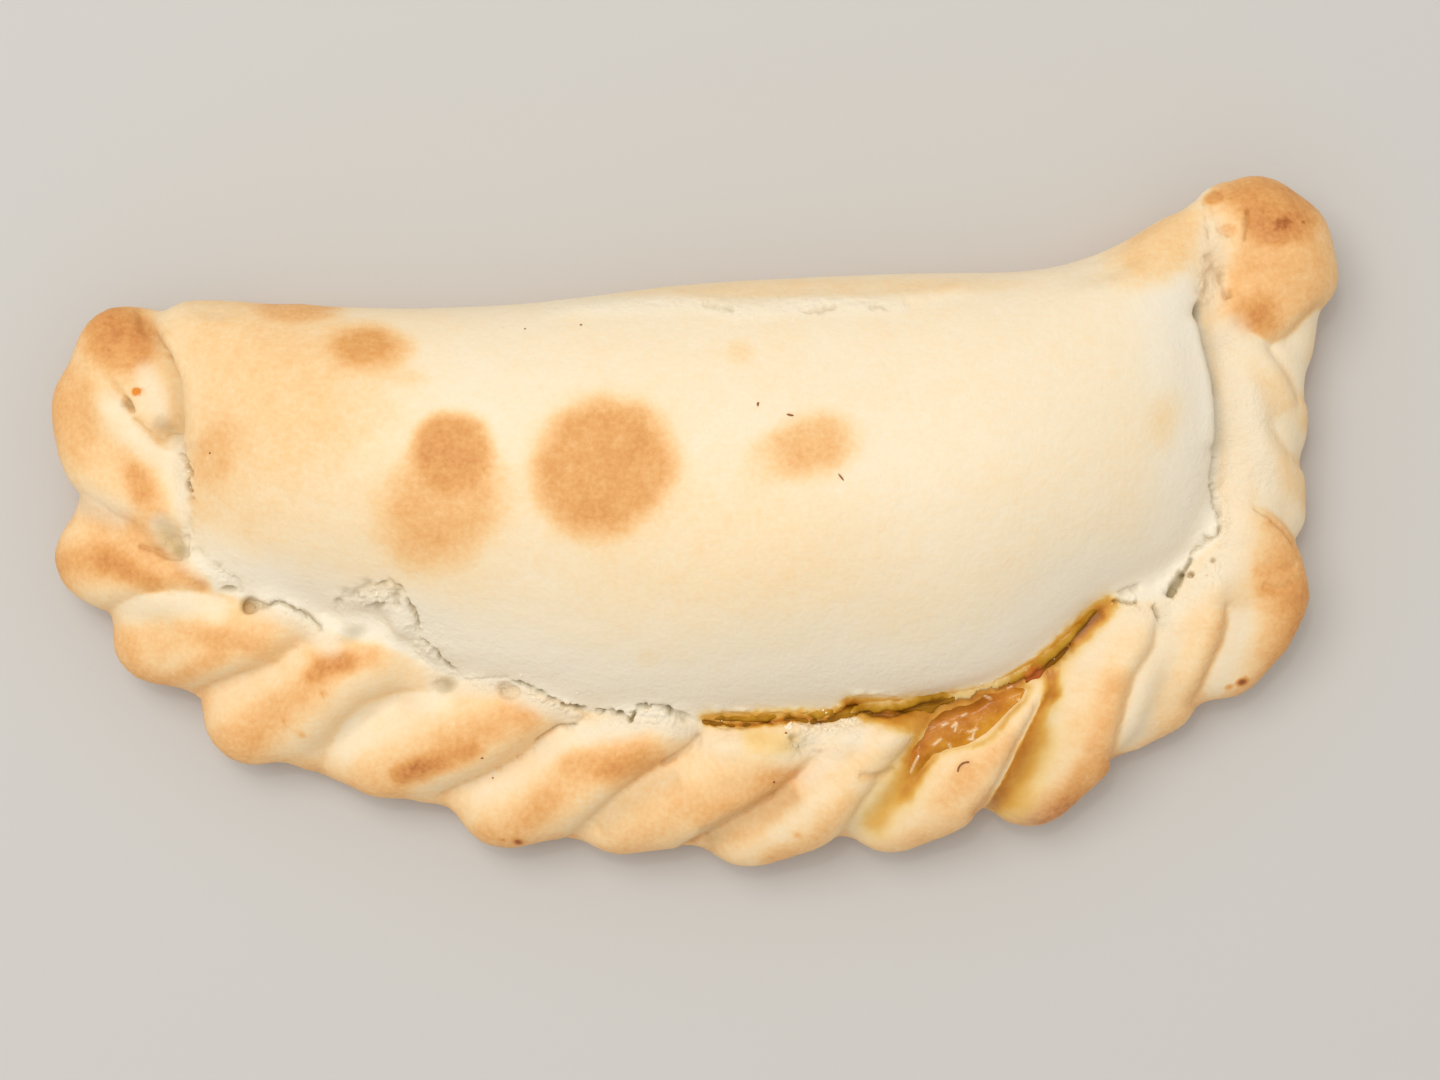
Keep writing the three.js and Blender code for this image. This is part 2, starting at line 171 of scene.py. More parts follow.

# Furrows (height below 0) and ridges (above 0) in the dough: millimetres, with widths and ragged edges
# in pixels. The last value, from 0 to 1, is how much shade is painted into a furrow: painted shade in the
# crack.
FURROWS = table("line width height ragged dark", [0], [
    # the seam at the left corner
    ([(141, 304), (143, 328), (153, 340), (164, 358), (172, 382), (174, 413), (176, 440)],
     7, -0.9, 0.5, 0.25),
    ([(158, 346), (168, 360), (177, 384), (179, 413), (179, 440), (184, 455)], 2.6, -0.9, 0.6, 0.5),
    ([(162, 330), (178, 352), (191, 385), (194, 420), (196, 450)], 9, 0.3, 0),
    ([(181, 453), (185, 462), (189, 472), (187, 484), (191, 494)], 2.2, -1, 3, 0.8),
    ([(191, 494), (189, 520), (187, 545), (185, 558)], 3, -0.4, 3, 0.15),
    ([(131, 417), (144, 429), (158, 443), (172, 450)], 2, -0.35, 1, 0.15),
    ([(137, 546), (152, 549), (168, 556), (183, 558)], 2.4, -0.5, 1, 0.3),
    # the crumbled seam down to the flap
    ([(192, 549), (206, 556), (222, 568)], 2.6, -0.25, 3, 0.28),
    ([(222, 568), (236, 580), (243, 592)], 3, -0.2, 3, 0.15),
    ([(262, 606), (280, 603), (296, 609), (311, 616), (325, 631)], 1.5, -0.7, 2, 0.5),
    # the torn flap
    ([(332, 602), (350, 594), (364, 588), (378, 586), (390, 590), (402, 598)], 6, -0.4, 4, 0.35),
    ([(372, 588), (382, 582), (390, 581), (399, 588), (407, 598)], 2.2, -0.4, 3, 0.5),
    ([(366, 604), (378, 608), (390, 605), (400, 602)], 2.4, -0.4, 3, 0.45),
    ([(407, 598), (415, 616), (420, 634), (428, 646), (443, 660), (452, 669), (461, 678)], 1.5, -0.8, 3, 0.7),
    # the crack of the seam
    ([(461, 679), (480, 680), (497, 678), (510, 678)], 1.6, -0.2, 1.5, 0.12),
    ([(510, 678), (517, 682), (533, 688), (550, 698), (567, 705), (595, 712)], 1.5, -0.7, 3, 0.8),
    ([(595, 712), (613, 710), (622, 715), (630, 720), (637, 710), (647, 705), (663, 707), (677, 717),
      (693, 722)], 1.8, -0.9, 3, 0.9),
    ([(534, 742), (547, 733), (560, 727), (580, 723)], 1.4, -0.5, 1, 0.3),
    ([(660, 766), (676, 756), (690, 746), (701, 733)], 2.5, -0.5, 0.5, 0.25),
    ([(684, 845), (722, 826), (745, 813), (765, 801), (784, 788)], 1.3, -0.3, 0, 0.15),
    ([(700, 847), (730, 833), (765, 813), (798, 790)], 13, -0.4, 0, 0.3),
    ([(596, 836), (622, 814), (650, 794), (680, 774)], 12, -0.3, 0, 0.15),
    # the split
    ([(697, 723), (716, 725), (733, 727), (753, 725), (773, 721), (790, 719), (812, 722), (832, 722),
      (842, 712)], 2.2, -0.6, 3, 0.15),
    ([(700, 712), (733, 709), (767, 712), (800, 711), (827, 715), (840, 705), (850, 696), (880, 691),
      (905, 699)], 3, 0.3, 4),
    ([(842, 710), (856, 708), (872, 713), (890, 714), (906, 711), (922, 704), (938, 699)], 2.6, -0.6, 2, 0.5),
    ([(1046, 668), (1058, 658), (1074, 643)], 2, -0.4, 2, 0.3),
    # the torn seam after the split
    ([(1112, 602), (1126, 602), (1138, 603)], 1.8, -0.6, 2, 0.5),
    ([(1118, 596), (1128, 589), (1140, 586)], 3, -0.4, 2, 0.3),
    ([(1193, 557), (1187, 566), (1179, 577)], 1.6, -0.7, 1.8, 0.6),
    ([(1183, 571), (1178, 580), (1173, 588), (1169, 598)], 3.6, -1.1, 1.8, 0.8),
    ([(1153, 604), (1157, 610), (1160, 620)], 2.4, -0.6, 1, 0.5),
    ([(1218, 538), (1205, 541), (1198, 549), (1192, 556)], 1.3, -0.6, 3, 0.3),
    ([(1217, 539), (1220, 517), (1215, 496), (1213, 480)], 2.6, -0.7, 4, 0.38),
    ([(1213, 480), (1215, 464), (1217, 455)], 3, -0.6, 2, 0.3),
    ([(1218, 460), (1219, 430), (1218, 400), (1214, 375), (1207, 346), (1202, 325), (1199, 302)],
     6, -0.8, 0.5, 0.36),
    ([(1219, 400), (1216, 375), (1209, 346), (1203, 325), (1200, 302)], 2.6, -0.7, 0.5, 0.5),
    ([(1196, 314), (1202, 345), (1207, 374), (1211, 412), (1213, 450)], 9, 0.5, 0),
    # creases where the rope turns into the ball
    ([(1200, 300), (1208, 284), (1212, 268), (1208, 250)], 5, -0.3, 4, 0.15),
    ([(1203, 208), (1206, 222), (1210, 242)], 1.8, -0.25, 3, 0.15),
    ([(1248, 206), (1247, 222), (1243, 242)], 1.6, -0.4, 2, 0.3),
    ([(1216, 228), (1224, 236), (1232, 240)], 1.6, -0.3, 2, 0.1),
    ([(1222, 196), (1218, 214), (1224, 232)], 5, -0.25, 3),
    ([(1214, 262), (1222, 280), (1231, 298)], 3.5, -0.3, 3, 0.3),
    ([(1252, 507), (1270, 517), (1284, 531), (1296, 548)], 1.6, -0.3, 0.5, 0.2),
    ([(1264, 562), (1280, 570), (1298, 566)], 3, -0.2, 0.5),
    ([(1262, 584), (1278, 590), (1296, 584)], 3, -0.2, 0.5),
    # the wrinkle along the folded back edge
    ([(545, 308), (590, 307), (634, 303), (664, 299), (700, 300), (736, 307), (774, 305), (806, 300),
      (848, 300), (886, 302), (930, 295), (990, 284)], 8, 0.35, 1.5),
    ([(702, 306), (718, 309), (736, 311)], 2.2, -0.25, 4, 0.3),
    ([(806, 312), (822, 311), (836, 307)], 2.2, -0.25, 4, 0.24),
    ([(870, 308), (880, 308), (892, 309)], 2.2, -0.2, 3, 0.2),
    # the pinched line below the inner nub
    ([(858, 776), (872, 777), (886, 774), (896, 768)], 3.5, -0.35, 0.5, 0.15),
])

# Holes and dents (depth above 0) and lumps (below 0): millimetres, with radii in pixels and turns in
# degrees. floor is how much of a hole is its floor: a soft dent has none. The value after floor is the
# shade painted into it, as above, and lit is the side of the hole that gets less of that painted shade, in
# degrees.
DENTS = table("at radii turn depth floor dark lit", [0, None], [
    ((127, 404), (5, 12), -35, 1.1, 0.2, 0.6),
    ((116, 391), (9, 16), -40, 0.4, 0, 0.1),
    ((166, 432), (22, 16), 60, 1, 0, 0.5),
    ((172, 441), (9, 8), 20, 0.6, 0.3, 0.3),
    ((170, 536), (32, 17), 62, 0.7, 0, 0.35),
    ((176, 549), (15, 11), 30, 0.4, 0.1, 0.85, -130),
    ((163, 547), (24, 8), 14, 0, 0, 0.3),
    ((229, 590), (9, 4.5), 0, 0.7, 0.2, 0.45),
    ((250, 605), (12, 10), 0, 0.6, 0.2, 0.9, 20),
    ((261, 606), (11, 5), 10, 0.6, 0.2, 0.4),
    ((352, 634), (20, 11), -20, 0.5, 0, 0.42),
    ((444, 686), (16, 9), -12, 0.6, 0.1, 0.75, 190),
    ((508, 691), (12.5, 9.5), 30, 0.2, 0.5, 0.3, 20),
    ((513, 693), (8, 8), 0, 0.5, 0.2),
    ((684, 717), (14, 5.5), 24, 0.5, 0.1, 0.55, 100),
    ((803, 745), (17, 15), 0, 0.7, 0, 0.22),
    ((795, 737), (8, 5), 0, 0.6, 0.2, 0.3),
    ((698, 743), (6, 11), 20, 0.3, 0, 0.15),
    ((1190, 574), (5.5, 4.5), 0, 1, 0, 0.7),
    ((1213, 560), (4, 3.4), 0, 0.7, 0, 0.6),
    ((1201, 314), (6, 15), -6, 0.9, 0.3, 0.8),
    ((1226, 292), (6, 9), 0, 0.4, 0, 0.2),
    ((890, 740), (22, 18), -30, -0.4, 0),
    ((845, 740), (24, 17), -45, -0.7, 0),
    ((726, 748), (22, 16), 0, -0.5, 0),
    ((399, 628), (16, 20), 0, -0.6, 0),
    ((300, 306), (30, 14), 0, -0.2, 0),
    ((210, 306), (44, 16), 0, 0.5, 0),
    ((1210, 200), (36, 28), 0, -1, 0),
    ((1108, 262), (56, 24), -20, 0.9, 0),
])

# Crumbled, fibrous dough: how high its crumbs rise in millimetres, with radii in pixels and turns in
# degrees.
CRUMBLED = table("at radii turn rise", [], [
    ((812, 736), (30, 20), -25, 0.2),
    ((846, 726), (22, 12), 10, 0.12),
    ((212, 570), (30, 13), 35, 0.1),
    ((376, 596), (36, 13), -5, 0.18),
    ((420, 640), (12, 30), -30, 0.14),
    ((480, 680), (30, 7), 0, 0.1),
    ((536, 695), (22, 8), 22, 0.12),
    ((570, 708), (34, 9), 20, 0.14),
    ((645, 716), (52, 12), 3, 0.2),
    ((1128, 604), (22, 12), 0, 0.2),
    ((1196, 574), (34, 24), -30, 0.14),
    ((1222, 520), (11, 44), 0, 0.18),
    ((184, 470), (11, 26), -20, 0.14),
    ((1206, 280), (12, 30), 0, 0.12),
    ((770, 304), (150, 9), -1, 0.06),
])

# Holes of the solid that are no more than soft dents, and how high the dough fills them.
FILLED_HOLES = table("at top", [], [
    ((-55.8 * MM, -2.6 * MM), 12.5 * MM),
    ((-27.4 * MM, -17.6 * MM), 12.9 * MM),
])
FILLED_RADIUS = 1.35 * MM
FILLED_LENGTH = 2.4 * MM

FINE_REACH = 6  # pixels from a furrow or a dent within which the mesh is refined once
FINEST_REACH = 2.5  # and within which it is refined twice
CREASE_REACH = 7  # pixels from a crease within which the mesh is refined once
SPOT_REACH = 0.7  # how much of these reaches is enough round a dent
SCORCH_REACH = 0.5  # and round a scorch
LEAST_HALF_WIDTH = 0.7  # pixels that the right side of a thin furrow counts for

# ------------------------------------------------------------------ the crust's browning

# Every place's browning runs from 0, white dough, to 1, scorched.
BODY_BROWN = 0.12
ROPE_BROWN = 0.24
PALE_REACH = (20, 95)  # pixels from the seam over which the body is white
BODY_FLANK_BROWN = 0.30
BODY_FLANK = (3 * MM, 9 * MM)  # the heights below which the flank browns
ROPE_FLANK_BROWN = 0.42
ROPE_FLANK = (4 * MM, 9.5 * MM)
FOOT_BROWN = 0.62
FOOT = (0.4 * MM, 3.6 * MM)

# Spots are laid over one another in this order: how brown each is, how much of it covers what lies
# below, radii in pixels and turn in degrees. crisp is how far out, by its radii, a spot begins to fade.
SPOTS = table("at radii turn brown cover crisp", [0.45], [
    ((230, 410), (190, 170), 0, 0.33, 0.9),
    ((390, 530), (190, 80), 10, 0.2, 0.7),
    ((700, 540), (230, 90), 4, 0.19, 0.8),
    ((1168, 240), (80, 46), -28, 0.33, 0.9),
    ((441, 503), (86, 72), -38, 0.45, 1),
    ((452, 453), (46, 45), 0, 0.62, 0.95, 0.65),
    ((604, 467), (92, 84), -10, 0.4, 0.8),
    ((604, 465), (82, 70), -32, 0.57, 0.95, 0.65),
    ((780, 458), (50, 32), -14, 0.3, 0.8),
    ((814, 445), (54, 40), -14, 0.44, 0.95, 0.4),
    ((366, 347), (58, 30), 0, 0.46, 1),
    ((362, 346), (36, 20), -8, 0.6, 0.85),
    ((298, 308), (52, 18), 0, 0.48, 0.9),
    ((820, 288), (230, 12), -1, 0.28, 0.6),
    ((231, 336), (22, 14), 0, 0.3, 0.6),
    ((648, 660), (14, 12), 0, 0.22, 0.4),
    ((218, 450), (26, 42), 20, 0.44, 0.75),
    ((741, 353), (18, 16), 0, 0.28, 0.5),
    ((1164, 421), (24, 46), 16, 0.3, 0.6, 0),
    ((396, 374), (40, 14), 10, 0.32, 0.5),
    ((118, 336), (50, 44), 20, 0.6, 1),
    ((112, 326), (26, 20), -30, 0.7, 0.7),
    ((140, 345), (12, 26), -20, 0.66, 0.6),
    ((70, 412), (36, 64), -8, 0.46, 0.9),
    ((150, 398), (26, 34), -20, 0.22, 0.9),
    ((172, 480), (18, 52), 0, 0.12, 0.9),
    ((1275, 262), (84, 100), 0, 0.43, 1),
    ((1266, 203), (72, 42), 5, 0.62, 0.9),
    ((1216, 250), (30, 62), 10, 0.2, 0.8),
    ((1240, 282), (16, 30), 0, 0.36, 0.5),
    ((1281, 226), (36, 24), 0, 0.7, 0.8),
    ((1283, 222), (11, 8), 0, 0.86, 0.9),
    ((1270, 242), (13, 5), 0, 0.64, 0.7),
    ((1258, 315), (28, 28), 0, 0.58, 0.9),
    ((1258, 314), (12, 11), 0, 0.72, 0.8),
    ((1214, 198), (15, 9), -20, 0.68, 0.8),
    ((1238, 193), (15, 12), 0, 0.6, 0.8),
    ((1228, 230), (11, 8), 0, 0.56, 0.7),
    ((1255, 267), (10, 7), 0, 0.52, 0.6),
    ((966, 774), (20, 13), -20, 0.5, 0.8),
])

# Browned bands along the folds, laid over the spots in the same way: widths in pixels.
BANDS = table("line width brown cover", [], [
    ([(134, 458), (142, 484), (156, 512)], 22, 0.44, 0.9),
    ([(134, 472), (142, 492)], 14, 0.64, 0.9),
    ([(66, 566), (98, 556), (130, 546), (160, 572)], 34, 0.54, 0.95),
    ([(112, 562), (150, 574)], 24, 0.72, 0.95),
    ([(150, 560), (176, 572), (202, 584)], 13, 0.54, 0.9),
    ([(124, 522), (150, 538)], 14, 0.42, 0.9),
    ([(160, 640), (200, 628), (262, 638)], 34, 0.38, 0.9),
    ([(200, 636), (230, 640), (262, 648)], 16, 0.52, 0.75),
    ([(124, 640), (132, 668), (158, 688)], 20, 0.48, 0.85),
    ([(160, 688), (190, 672), (220, 655)], 14, 0.5, 0.8),
    ([(240, 748), (272, 712), (304, 682)], 36, 0.5, 0.95),
    ([(300, 676), (330, 662), (372, 655)], 20, 0.46, 0.8),
    ([(312, 672), (346, 662)], 15, 0.74, 0.9),
    ([(222, 740), (252, 766), (310, 772)], 18, 0.44, 0.85),
    ([(360, 786), (410, 766), (450, 748), (512, 716)], 30, 0.4, 0.9),
    ([(402, 774), (434, 763), (470, 749)], 15, 0.8, 0.9),
    ([(450, 744), (482, 728), (526, 716)], 24, 0.5, 0.75),
    ([(340, 790), (400, 800)], 14, 0.46, 0.85),
    ([(500, 834), (534, 808), (574, 776), (640, 760)], 34, 0.42, 0.9),
    ([(572, 762), (610, 768), (646, 758)], 22, 0.56, 0.75),
    ([(598, 774), (640, 760)], 11, 0.64, 0.8),
    ([(510, 838), (530, 820), (550, 800)], 18, 0.54, 0.6),
    ([(478, 834), (520, 850), (560, 844)], 14, 0.48, 0.85),
    ([(600, 830), (640, 806), (672, 788)], 18, 0.38, 0.7),
    ([(640, 838), (690, 808), (740, 788), (786, 774)], 34, 0.38, 0.9),
    ([(700, 818), (744, 800), (790, 776)], 14, 0.5, 0.7),
    ([(764, 777), (798, 771)], 10, 0.56, 0.8),
    ([(598, 854), (650, 856)], 13, 0.44, 0.8),
    ([(770, 862), (816, 842), (850, 800)], 15, 0.42, 0.85),
    ([(862, 776), (880, 775), (894, 769)], 9, 0.42, 0.6),
    ([(880, 850), (934, 838), (968, 818)], 18, 0.4, 0.85),
    ([(944, 800), (974, 776), (1006, 742)], 22, 0.42, 0.85),
    ([(998, 816), (1040, 818), (1078, 802), (1102, 770)], 30, 0.76, 0.95),
    ([(1090, 780), (1104, 730), (1118, 684)], 22, 0.46, 0.85),
    ([(1168, 740), (1195, 700), (1214, 656), (1221, 622)], 16, 0.42, 0.8),
    ([(1135, 757), (1172, 742)], 12, 0.38, 0.8),
    ([(1276, 548), (1294, 562)], 26, 0.4, 0.8),
    ([(1298, 584), (1306, 620), (1292, 660)], 48, 0.64, 0.95),
    ([(1262, 572), (1284, 578), (1300, 574)], 12, 0.56, 0.7),
    ([(1262, 590), (1284, 594), (1300, 588)], 8, 0.6, 0.6),
    ([(1210, 704), (1250, 695), (1284, 668)], 16, 0.56, 0.85),
    ([(1270, 524), (1290, 540), (1302, 560)], 13, 0.48, 0.8),
    ([(1308, 500), (1306, 540)], 10, 0.4, 0.8),
    ([(1310, 425), (1308, 452)], 12, 0.4, 0.8),
    ([(776, 830), (804, 808), (826, 788)], 14, 0.1, 0.6),
    ([(345, 752), (372, 738), (400, 722)], 14, 0.08, 0.6),
    # a browner band on the fold below the crease: painted shade
    ([(733, 839), (764, 824)], 9, 0.4, 0.6),
    ([(1076, 742), (1082, 718)], 13, 0.34, 0.6),
])

# Small scorched specks: radii in pixels, turn in degrees and how dark they are.
SCORCHES = table("at radii turn share", [], [
    ((518, 842), (7, 4), 10, 0.9),
    ((503, 840), (4, 2.2), 0, 0.5),
    ((1242, 682), (8, 5), -20, 0.95),
    ((1229, 687), (6, 3.4), -20, 0.45),
    ((1303, 222), (3, 2.2), 30, 0.7),
    ((797, 835), (4, 3.4), 0, 0.3),
    ((322, 694), (4, 5), 0, 0.3),
    ((302, 735), (6, 4), 20, 0.3),
    ((283, 720), (3, 4), 0, 0.3),
    ((110, 350), (2, 1.6), 0, 0.7),
])
SPATTER = Ellipse((136.5, 391.5), (5.6, 4.6), -20)  # a drop of red stew

# Raw, torn or floury dough, which stays white.
RAW = table("line width share", [], [
    ([(192, 556), (215, 572), (242, 584)], 16, 0.8),
    ([(266, 604), (300, 620), (330, 640)], 15, 0.8),
    ([(345, 604), (398, 612), (425, 640), (445, 668)], 24, 0.9),
    ([(436, 686), (495, 686), (530, 698), (572, 716)], 12, 0.9),
    ([(588, 730), (622, 724), (650, 718), (692, 730)], 13, 1),
    ([(702, 742), (736, 742)], 12, 0.6),
    ([(790, 748), (826, 736), (856, 732)], 20, 1),
    ([(836, 750), (812, 776)], 16, 0.7),
    ([(880, 738), (908, 742)], 11, 0.5),
    ([(1086, 654), (1105, 622), (1140, 608)], 18, 0.7),
    ([(1165, 612), (1196, 582), (1222, 562)], 22, 0.9),
    ([(1230, 540), (1240, 450), (1226, 340)], 22, 0.8),
    ([(1264, 476), (1256, 440), (1246, 392)], 18, 0.9),
    ([(1210, 300), (1214, 262), (1210, 224)], 15, 0.5),
    ([(160, 524), (178, 550)], 11, 0.7),
    ([(180, 440), (184, 490), (186, 540)], 8, 0.7),
    ([(146, 372), (160, 420)], 12, 0.5),
    ([(84, 504), (118, 514)], 14, 0.5),
    ([(548, 309), (634, 306), (664, 303), (700, 305), (736, 312), (774, 310), (806, 305), (848, 306),
      (900, 308)], 9, 0.75),
    ([(444, 630), (500, 662), (600, 694), (700, 700), (850, 680), (940, 672)], 26, 0.45),
    ([(1180, 540), (1204, 500), (1206, 440)], 22, 0.4),
    ([(200, 540), (260, 584), (330, 590)], 16, 0.4),
])

# The edge of the pool of juice, clockwise as the camera sees it.
POOL_EDGE = [(909, 777), (908, 762), (912, 748), (918, 736), (926, 724), (939, 713), (956, 706), (972, 703),
             (984, 695), (1000, 691), (1016, 686), (1031, 687), (1027, 697), (1019, 706), (1009, 716),
             (1001, 728), (992, 738), (980, 745), (964, 748), (948, 751), (934, 757), (925, 768), (917, 779)]

# Dough stained by the stew juice, most along a line: how wide the stain is in pixels and how deep its
# colour. past, where given, is the crease whose far side alone is stained.
STAINS = table("line width share past", [None], [
    ([(704, 717), (733, 717), (767, 715), (800, 713), (832, 713), (846, 704)], 7, 0.48),
    ([(850, 701), (868, 701), (900, 702), (940, 698), (985, 691)], 7, 0.45),
    ([(708, 723), (733, 725), (767, 723), (800, 718), (832, 719), (850, 708)], 3.5, 0.75),
    ([(862, 716), (905, 722)], 9, 0.4),
    (POOL_EDGE, 4.5, 0.42),
    ([(920, 722), (940, 708), (970, 698), (1000, 689)], 7, 0.5),
    ([(916, 770), (906, 792)], 11, 0.4),
    ([(856, 708), (880, 713), (905, 712), (925, 712)], 8, 0.6),
    ([(900, 722), (915, 728)], 11, 0.4),
    ([(756, 740), (784, 745)], 18, 0.32),
    ([(1000, 686), (1034, 664), (1064, 642), (1100, 608)], 6, 0.6),
    ([(1008, 688), (1037, 669), (1063, 647), (1096, 616)], 7, 0.75),
    ([(1062, 664), (1082, 640), (1098, 622)], 13, 0.22),
    ([(1064, 644), (1088, 622), (1110, 604)], 11, 0.58),
    ([(912, 764), (892, 796), (874, 822)], 21, 0.44),
    ([(1041, 700), (1030, 724), (1018, 748), (1004, 777), (992, 800)], 13, 0.72, 9),
    ([(1036, 740), (1012, 796)], 26, 0.48, 9),
    ([(1050, 674), (1052, 692)], 10, 0.76),
    ([(162, 534), (176, 550)], 9, 0.2),
])


# ------------------------------------------------------------------ meshes as arrays

def read(items, what, wide=3, kind=np.float64):
    """One value of each of a mesh's points or edges, in rows."""
    flat = np.empty(len(items) * wide, kind)
    items.foreach_get(what, flat)
    return flat.reshape(-1, wide)


def points_of(mesh):
    return read(mesh.vertices, "co")


def normals_of(mesh):
    return read(mesh.vertices, "normal")


def put_points(mesh, points):
    mesh.vertices.foreach_set("co", np.ascontiguousarray(points, np.float64).ravel())
    mesh.update()


def raise_points(mesh, points, rise):
    """Puts the mesh's points where they are given, and that many millimetres out along their normals."""
    put_points(mesh, points + normals_of(mesh) * (rise * MM)[:, None])


class Neighbours:
    """A mesh's edges, for taking every point to the middle of those around it."""

    def __init__(self, mesh):
        pairs = read(mesh.edges, "vertices", 2, np.int64)
        self.ends = np.concatenate([pairs[:, 0], pairs[:, 1]])
        self.others = np.concatenate([pairs[:, 1], pairs[:, 0]])
        self.total = len(mesh.vertices)
        self.count = np.maximum(np.bincount(self.ends, minlength=self.total), 1)

    def mean(self, values):
        """The mean of every point's neighbours, for a row of numbers or of places."""
        if values.ndim == 1:
            return np.bincount(self.ends, values[self.others], self.total) / self.count
        return np.stack([self.mean(values[:, k]) for k in range(values.shape[1])], axis=1)

    def soften(self, values, rounds, pull=0.5):
        for _ in range(rounds):
            values += pull * (self.mean(values) - values)
        return values


def smooth(mesh, rounds, weight=None):
    pull = 0.5 if weight is None else (0.5 * weight)[:, None]
    put_points(mesh, Neighbours(mesh).soften(points_of(mesh), rounds, pull))


def hollowness(mesh):
    """How far every point lies below its neighbours, along its normal, in metres."""
    points = points_of(mesh)
    return np.einsum("ij,ij->i", Neighbours(mesh).mean(points) - points, normals_of(mesh))


def noise_at(places, size, seed):
    """Soft noise, from -1 to 1, whose lumps are about that size, at every place."""
    scaled = places / size + seed * SEED_STEP
    if scaled.shape[1] == 2:
        scaled = np.column_stack([scaled, np.full(len(scaled), float(seed))])
    return np.array([noise.noise(Vector(p)) for p in scaled])


def drift(where, size, seed):
    """Soft noise for shifting places in the frame both ways."""
    return np.stack([noise_at(where, size, seed), noise_at(where, size, seed + 1)], axis=1)


def keep_field(mesh, name, values):
    field = mesh.attributes.new(name, "FLOAT", "POINT")
    field.data.foreach_set("value", np.clip(values, 0, 1).astype(np.float32))


def mesh_of(bm, name):
    mesh = bpy.data.meshes.new(name)
    bm.to_mesh(mesh)
    bm.free()
    return mesh


def object_of(name, data):
    made = bpy.data.objects.new(name, data)
    bpy.context.scene.collection.objects.link(made)
    return made


# ------------------------------------------------------------------ lines and spots in the frame

def in_frame(points):
    """Where the camera sees each point, in pixels."""
    reach = CAMERA_AT.z - points[:, 2]
    across = FRAME_WIDE / 2 + (points[:, 0] - CAMERA_AT.x) / reach * FOCAL
    down = FRAME_HIGH / 2 - (points[:, 1] - CAMERA_AT.y) / reach * FOCAL
    return np.stack([across, down], axis=1)


def camera_ray(pixel):
    """The way from the camera through a pixel."""
    across = (pixel[0] - FRAME_WIDE / 2) / FOCAL
    down = (pixel[1] - FRAME_HIGH / 2) / FOCAL
    return Vector((across, -down, -1)).normalized()


def at_height(pixel, height):
    """The place at that height which the camera sees at the pixel."""
    ray = camera_ray(pixel)
    return CAMERA_AT + ray * ((height - CAMERA_AT.z) / ray.z)


def eased(value, low, high):
    share = np.clip((value - low) / (high - low), 0, 1)
    return share * share * (3 - 2 * share)


def stretches(line):
    """A line's corners, the way from each to the next, how long each way is and how far along it begins."""
    line = np.array(line, float)
    ways = np.diff(line, axis=0)
    lengths = np.hypot(ways[:, 0], ways[:, 1])
    return line, ways, lengths, np.concatenate([[0], np.cumsum(lengths)])


def along(where, line):
    """How far every place is from the line, above 0 on its right, and how far along it is, 0 to 1."""
    line, ways, lengths, gone = stretches(line)
    nearest = np.full(len(where), np.inf)
    side = np.ones(len(where))
    share = np.zeros(len(where))
    for start, way, length, before in zip(line[:-1], ways, lengths, gone):
        rel = where - start
        part = np.clip(rel @ way / length**2, 0, 1)
        gap = np.hypot(*(rel - part[:, None] * way).T)
        nearer = gap < nearest
        nearest[nearer] = gap[nearer]
        side[nearer] = np.where(way[0] * rel[:, 1] - way[1] * rel[:, 0] >= 0, 1, -1)[nearer]
        share[nearer] = ((before + part * length) / gone[-1])[nearer]
    return nearest * side, share


def point_along(line, share):
    """The place that far along a line, and the line's direction there."""
    line, ways, lengths, gone = stretches(line)
    reach = share * gone[-1]
    k = min(int(np.searchsorted(gone, reach, "right")) - 1, len(ways) - 1)
    return line[k] + ways[k] * (reach - gone[k]) / lengths[k], math.atan2(-ways[k][1], ways[k][0])


def from_spot(where, spot, grow=0):
    """How far every place is from the middle of an ellipse, 1 on its edge, which may be grown."""
    rel = where - np.array(spot.at, float)
    c, s = math.cos(math.radians(spot.turn)), math.sin(math.radians(spot.turn))
    lengthwise = (rel[:, 0] * c + rel[:, 1] * s) / (spot.radii[0] + grow)
    crosswise = (rel[:, 1] * c - rel[:, 0] * s) / (spot.radii[1] + grow)
    return np.hypot(lengthwise, crosswise)


def hump(value):
    return np.exp(-value * value)


def notch(away, soft):
    """A cut with a sharp bottom, steep on its left and gentle on its right."""
    return np.exp(np.where(away < 0, away / (NOTCH_STEEP * soft), -away / (NOTCH_GENTLE * soft)))


# ------------------------------------------------------------------ the crust

def copy_of(node, swell=0):
    """A CAD node's own mesh, merged and swollen."""
    bm = bmesh.new()
    bm.from_mesh(node.data)
    bmesh.ops.remove_doubles(bm, verts=bm.verts, dist=MERGE_WITHIN)
    bm.normal_update()
    for vert in bm.verts:
        vert.co += vert.normal * swell
    return mesh_of(bm, node.name + " copy")


def filling_copy(swell, sink=0):
    """The filling's mesh as the juice has set, level in the pool, and lowered."""
    mesh = copy_of(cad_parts["filling"], swell)
    for vert in mesh.vertices:
        pool = eased(vert.co.x, *POOL_FROM) * (1 - eased(vert.co.x, *POOL_TO))
        vert.co.z -= (1 - POOL_FLATNESS) * max(vert.co.z - POOL_LEVEL, 0) * pool + sink
    return mesh


def hole_plugs():
    """Pegs of dough that fill holes of the solid up to soft dents."""
    bm = bmesh.new()
    for hole in FILLED_HOLES:
        middle = Vector((*hole.at, hole.top - FILLED_LENGTH / 2))
        bmesh.ops.create_cone(bm, cap_ends=True, segments=16, radius1=FILLED_RADIUS, radius2=FILLED_RADIUS,
                              depth=FILLED_LENGTH, matrix=Matrix.Translation(middle))
    return mesh_of(bm, "hole plugs")


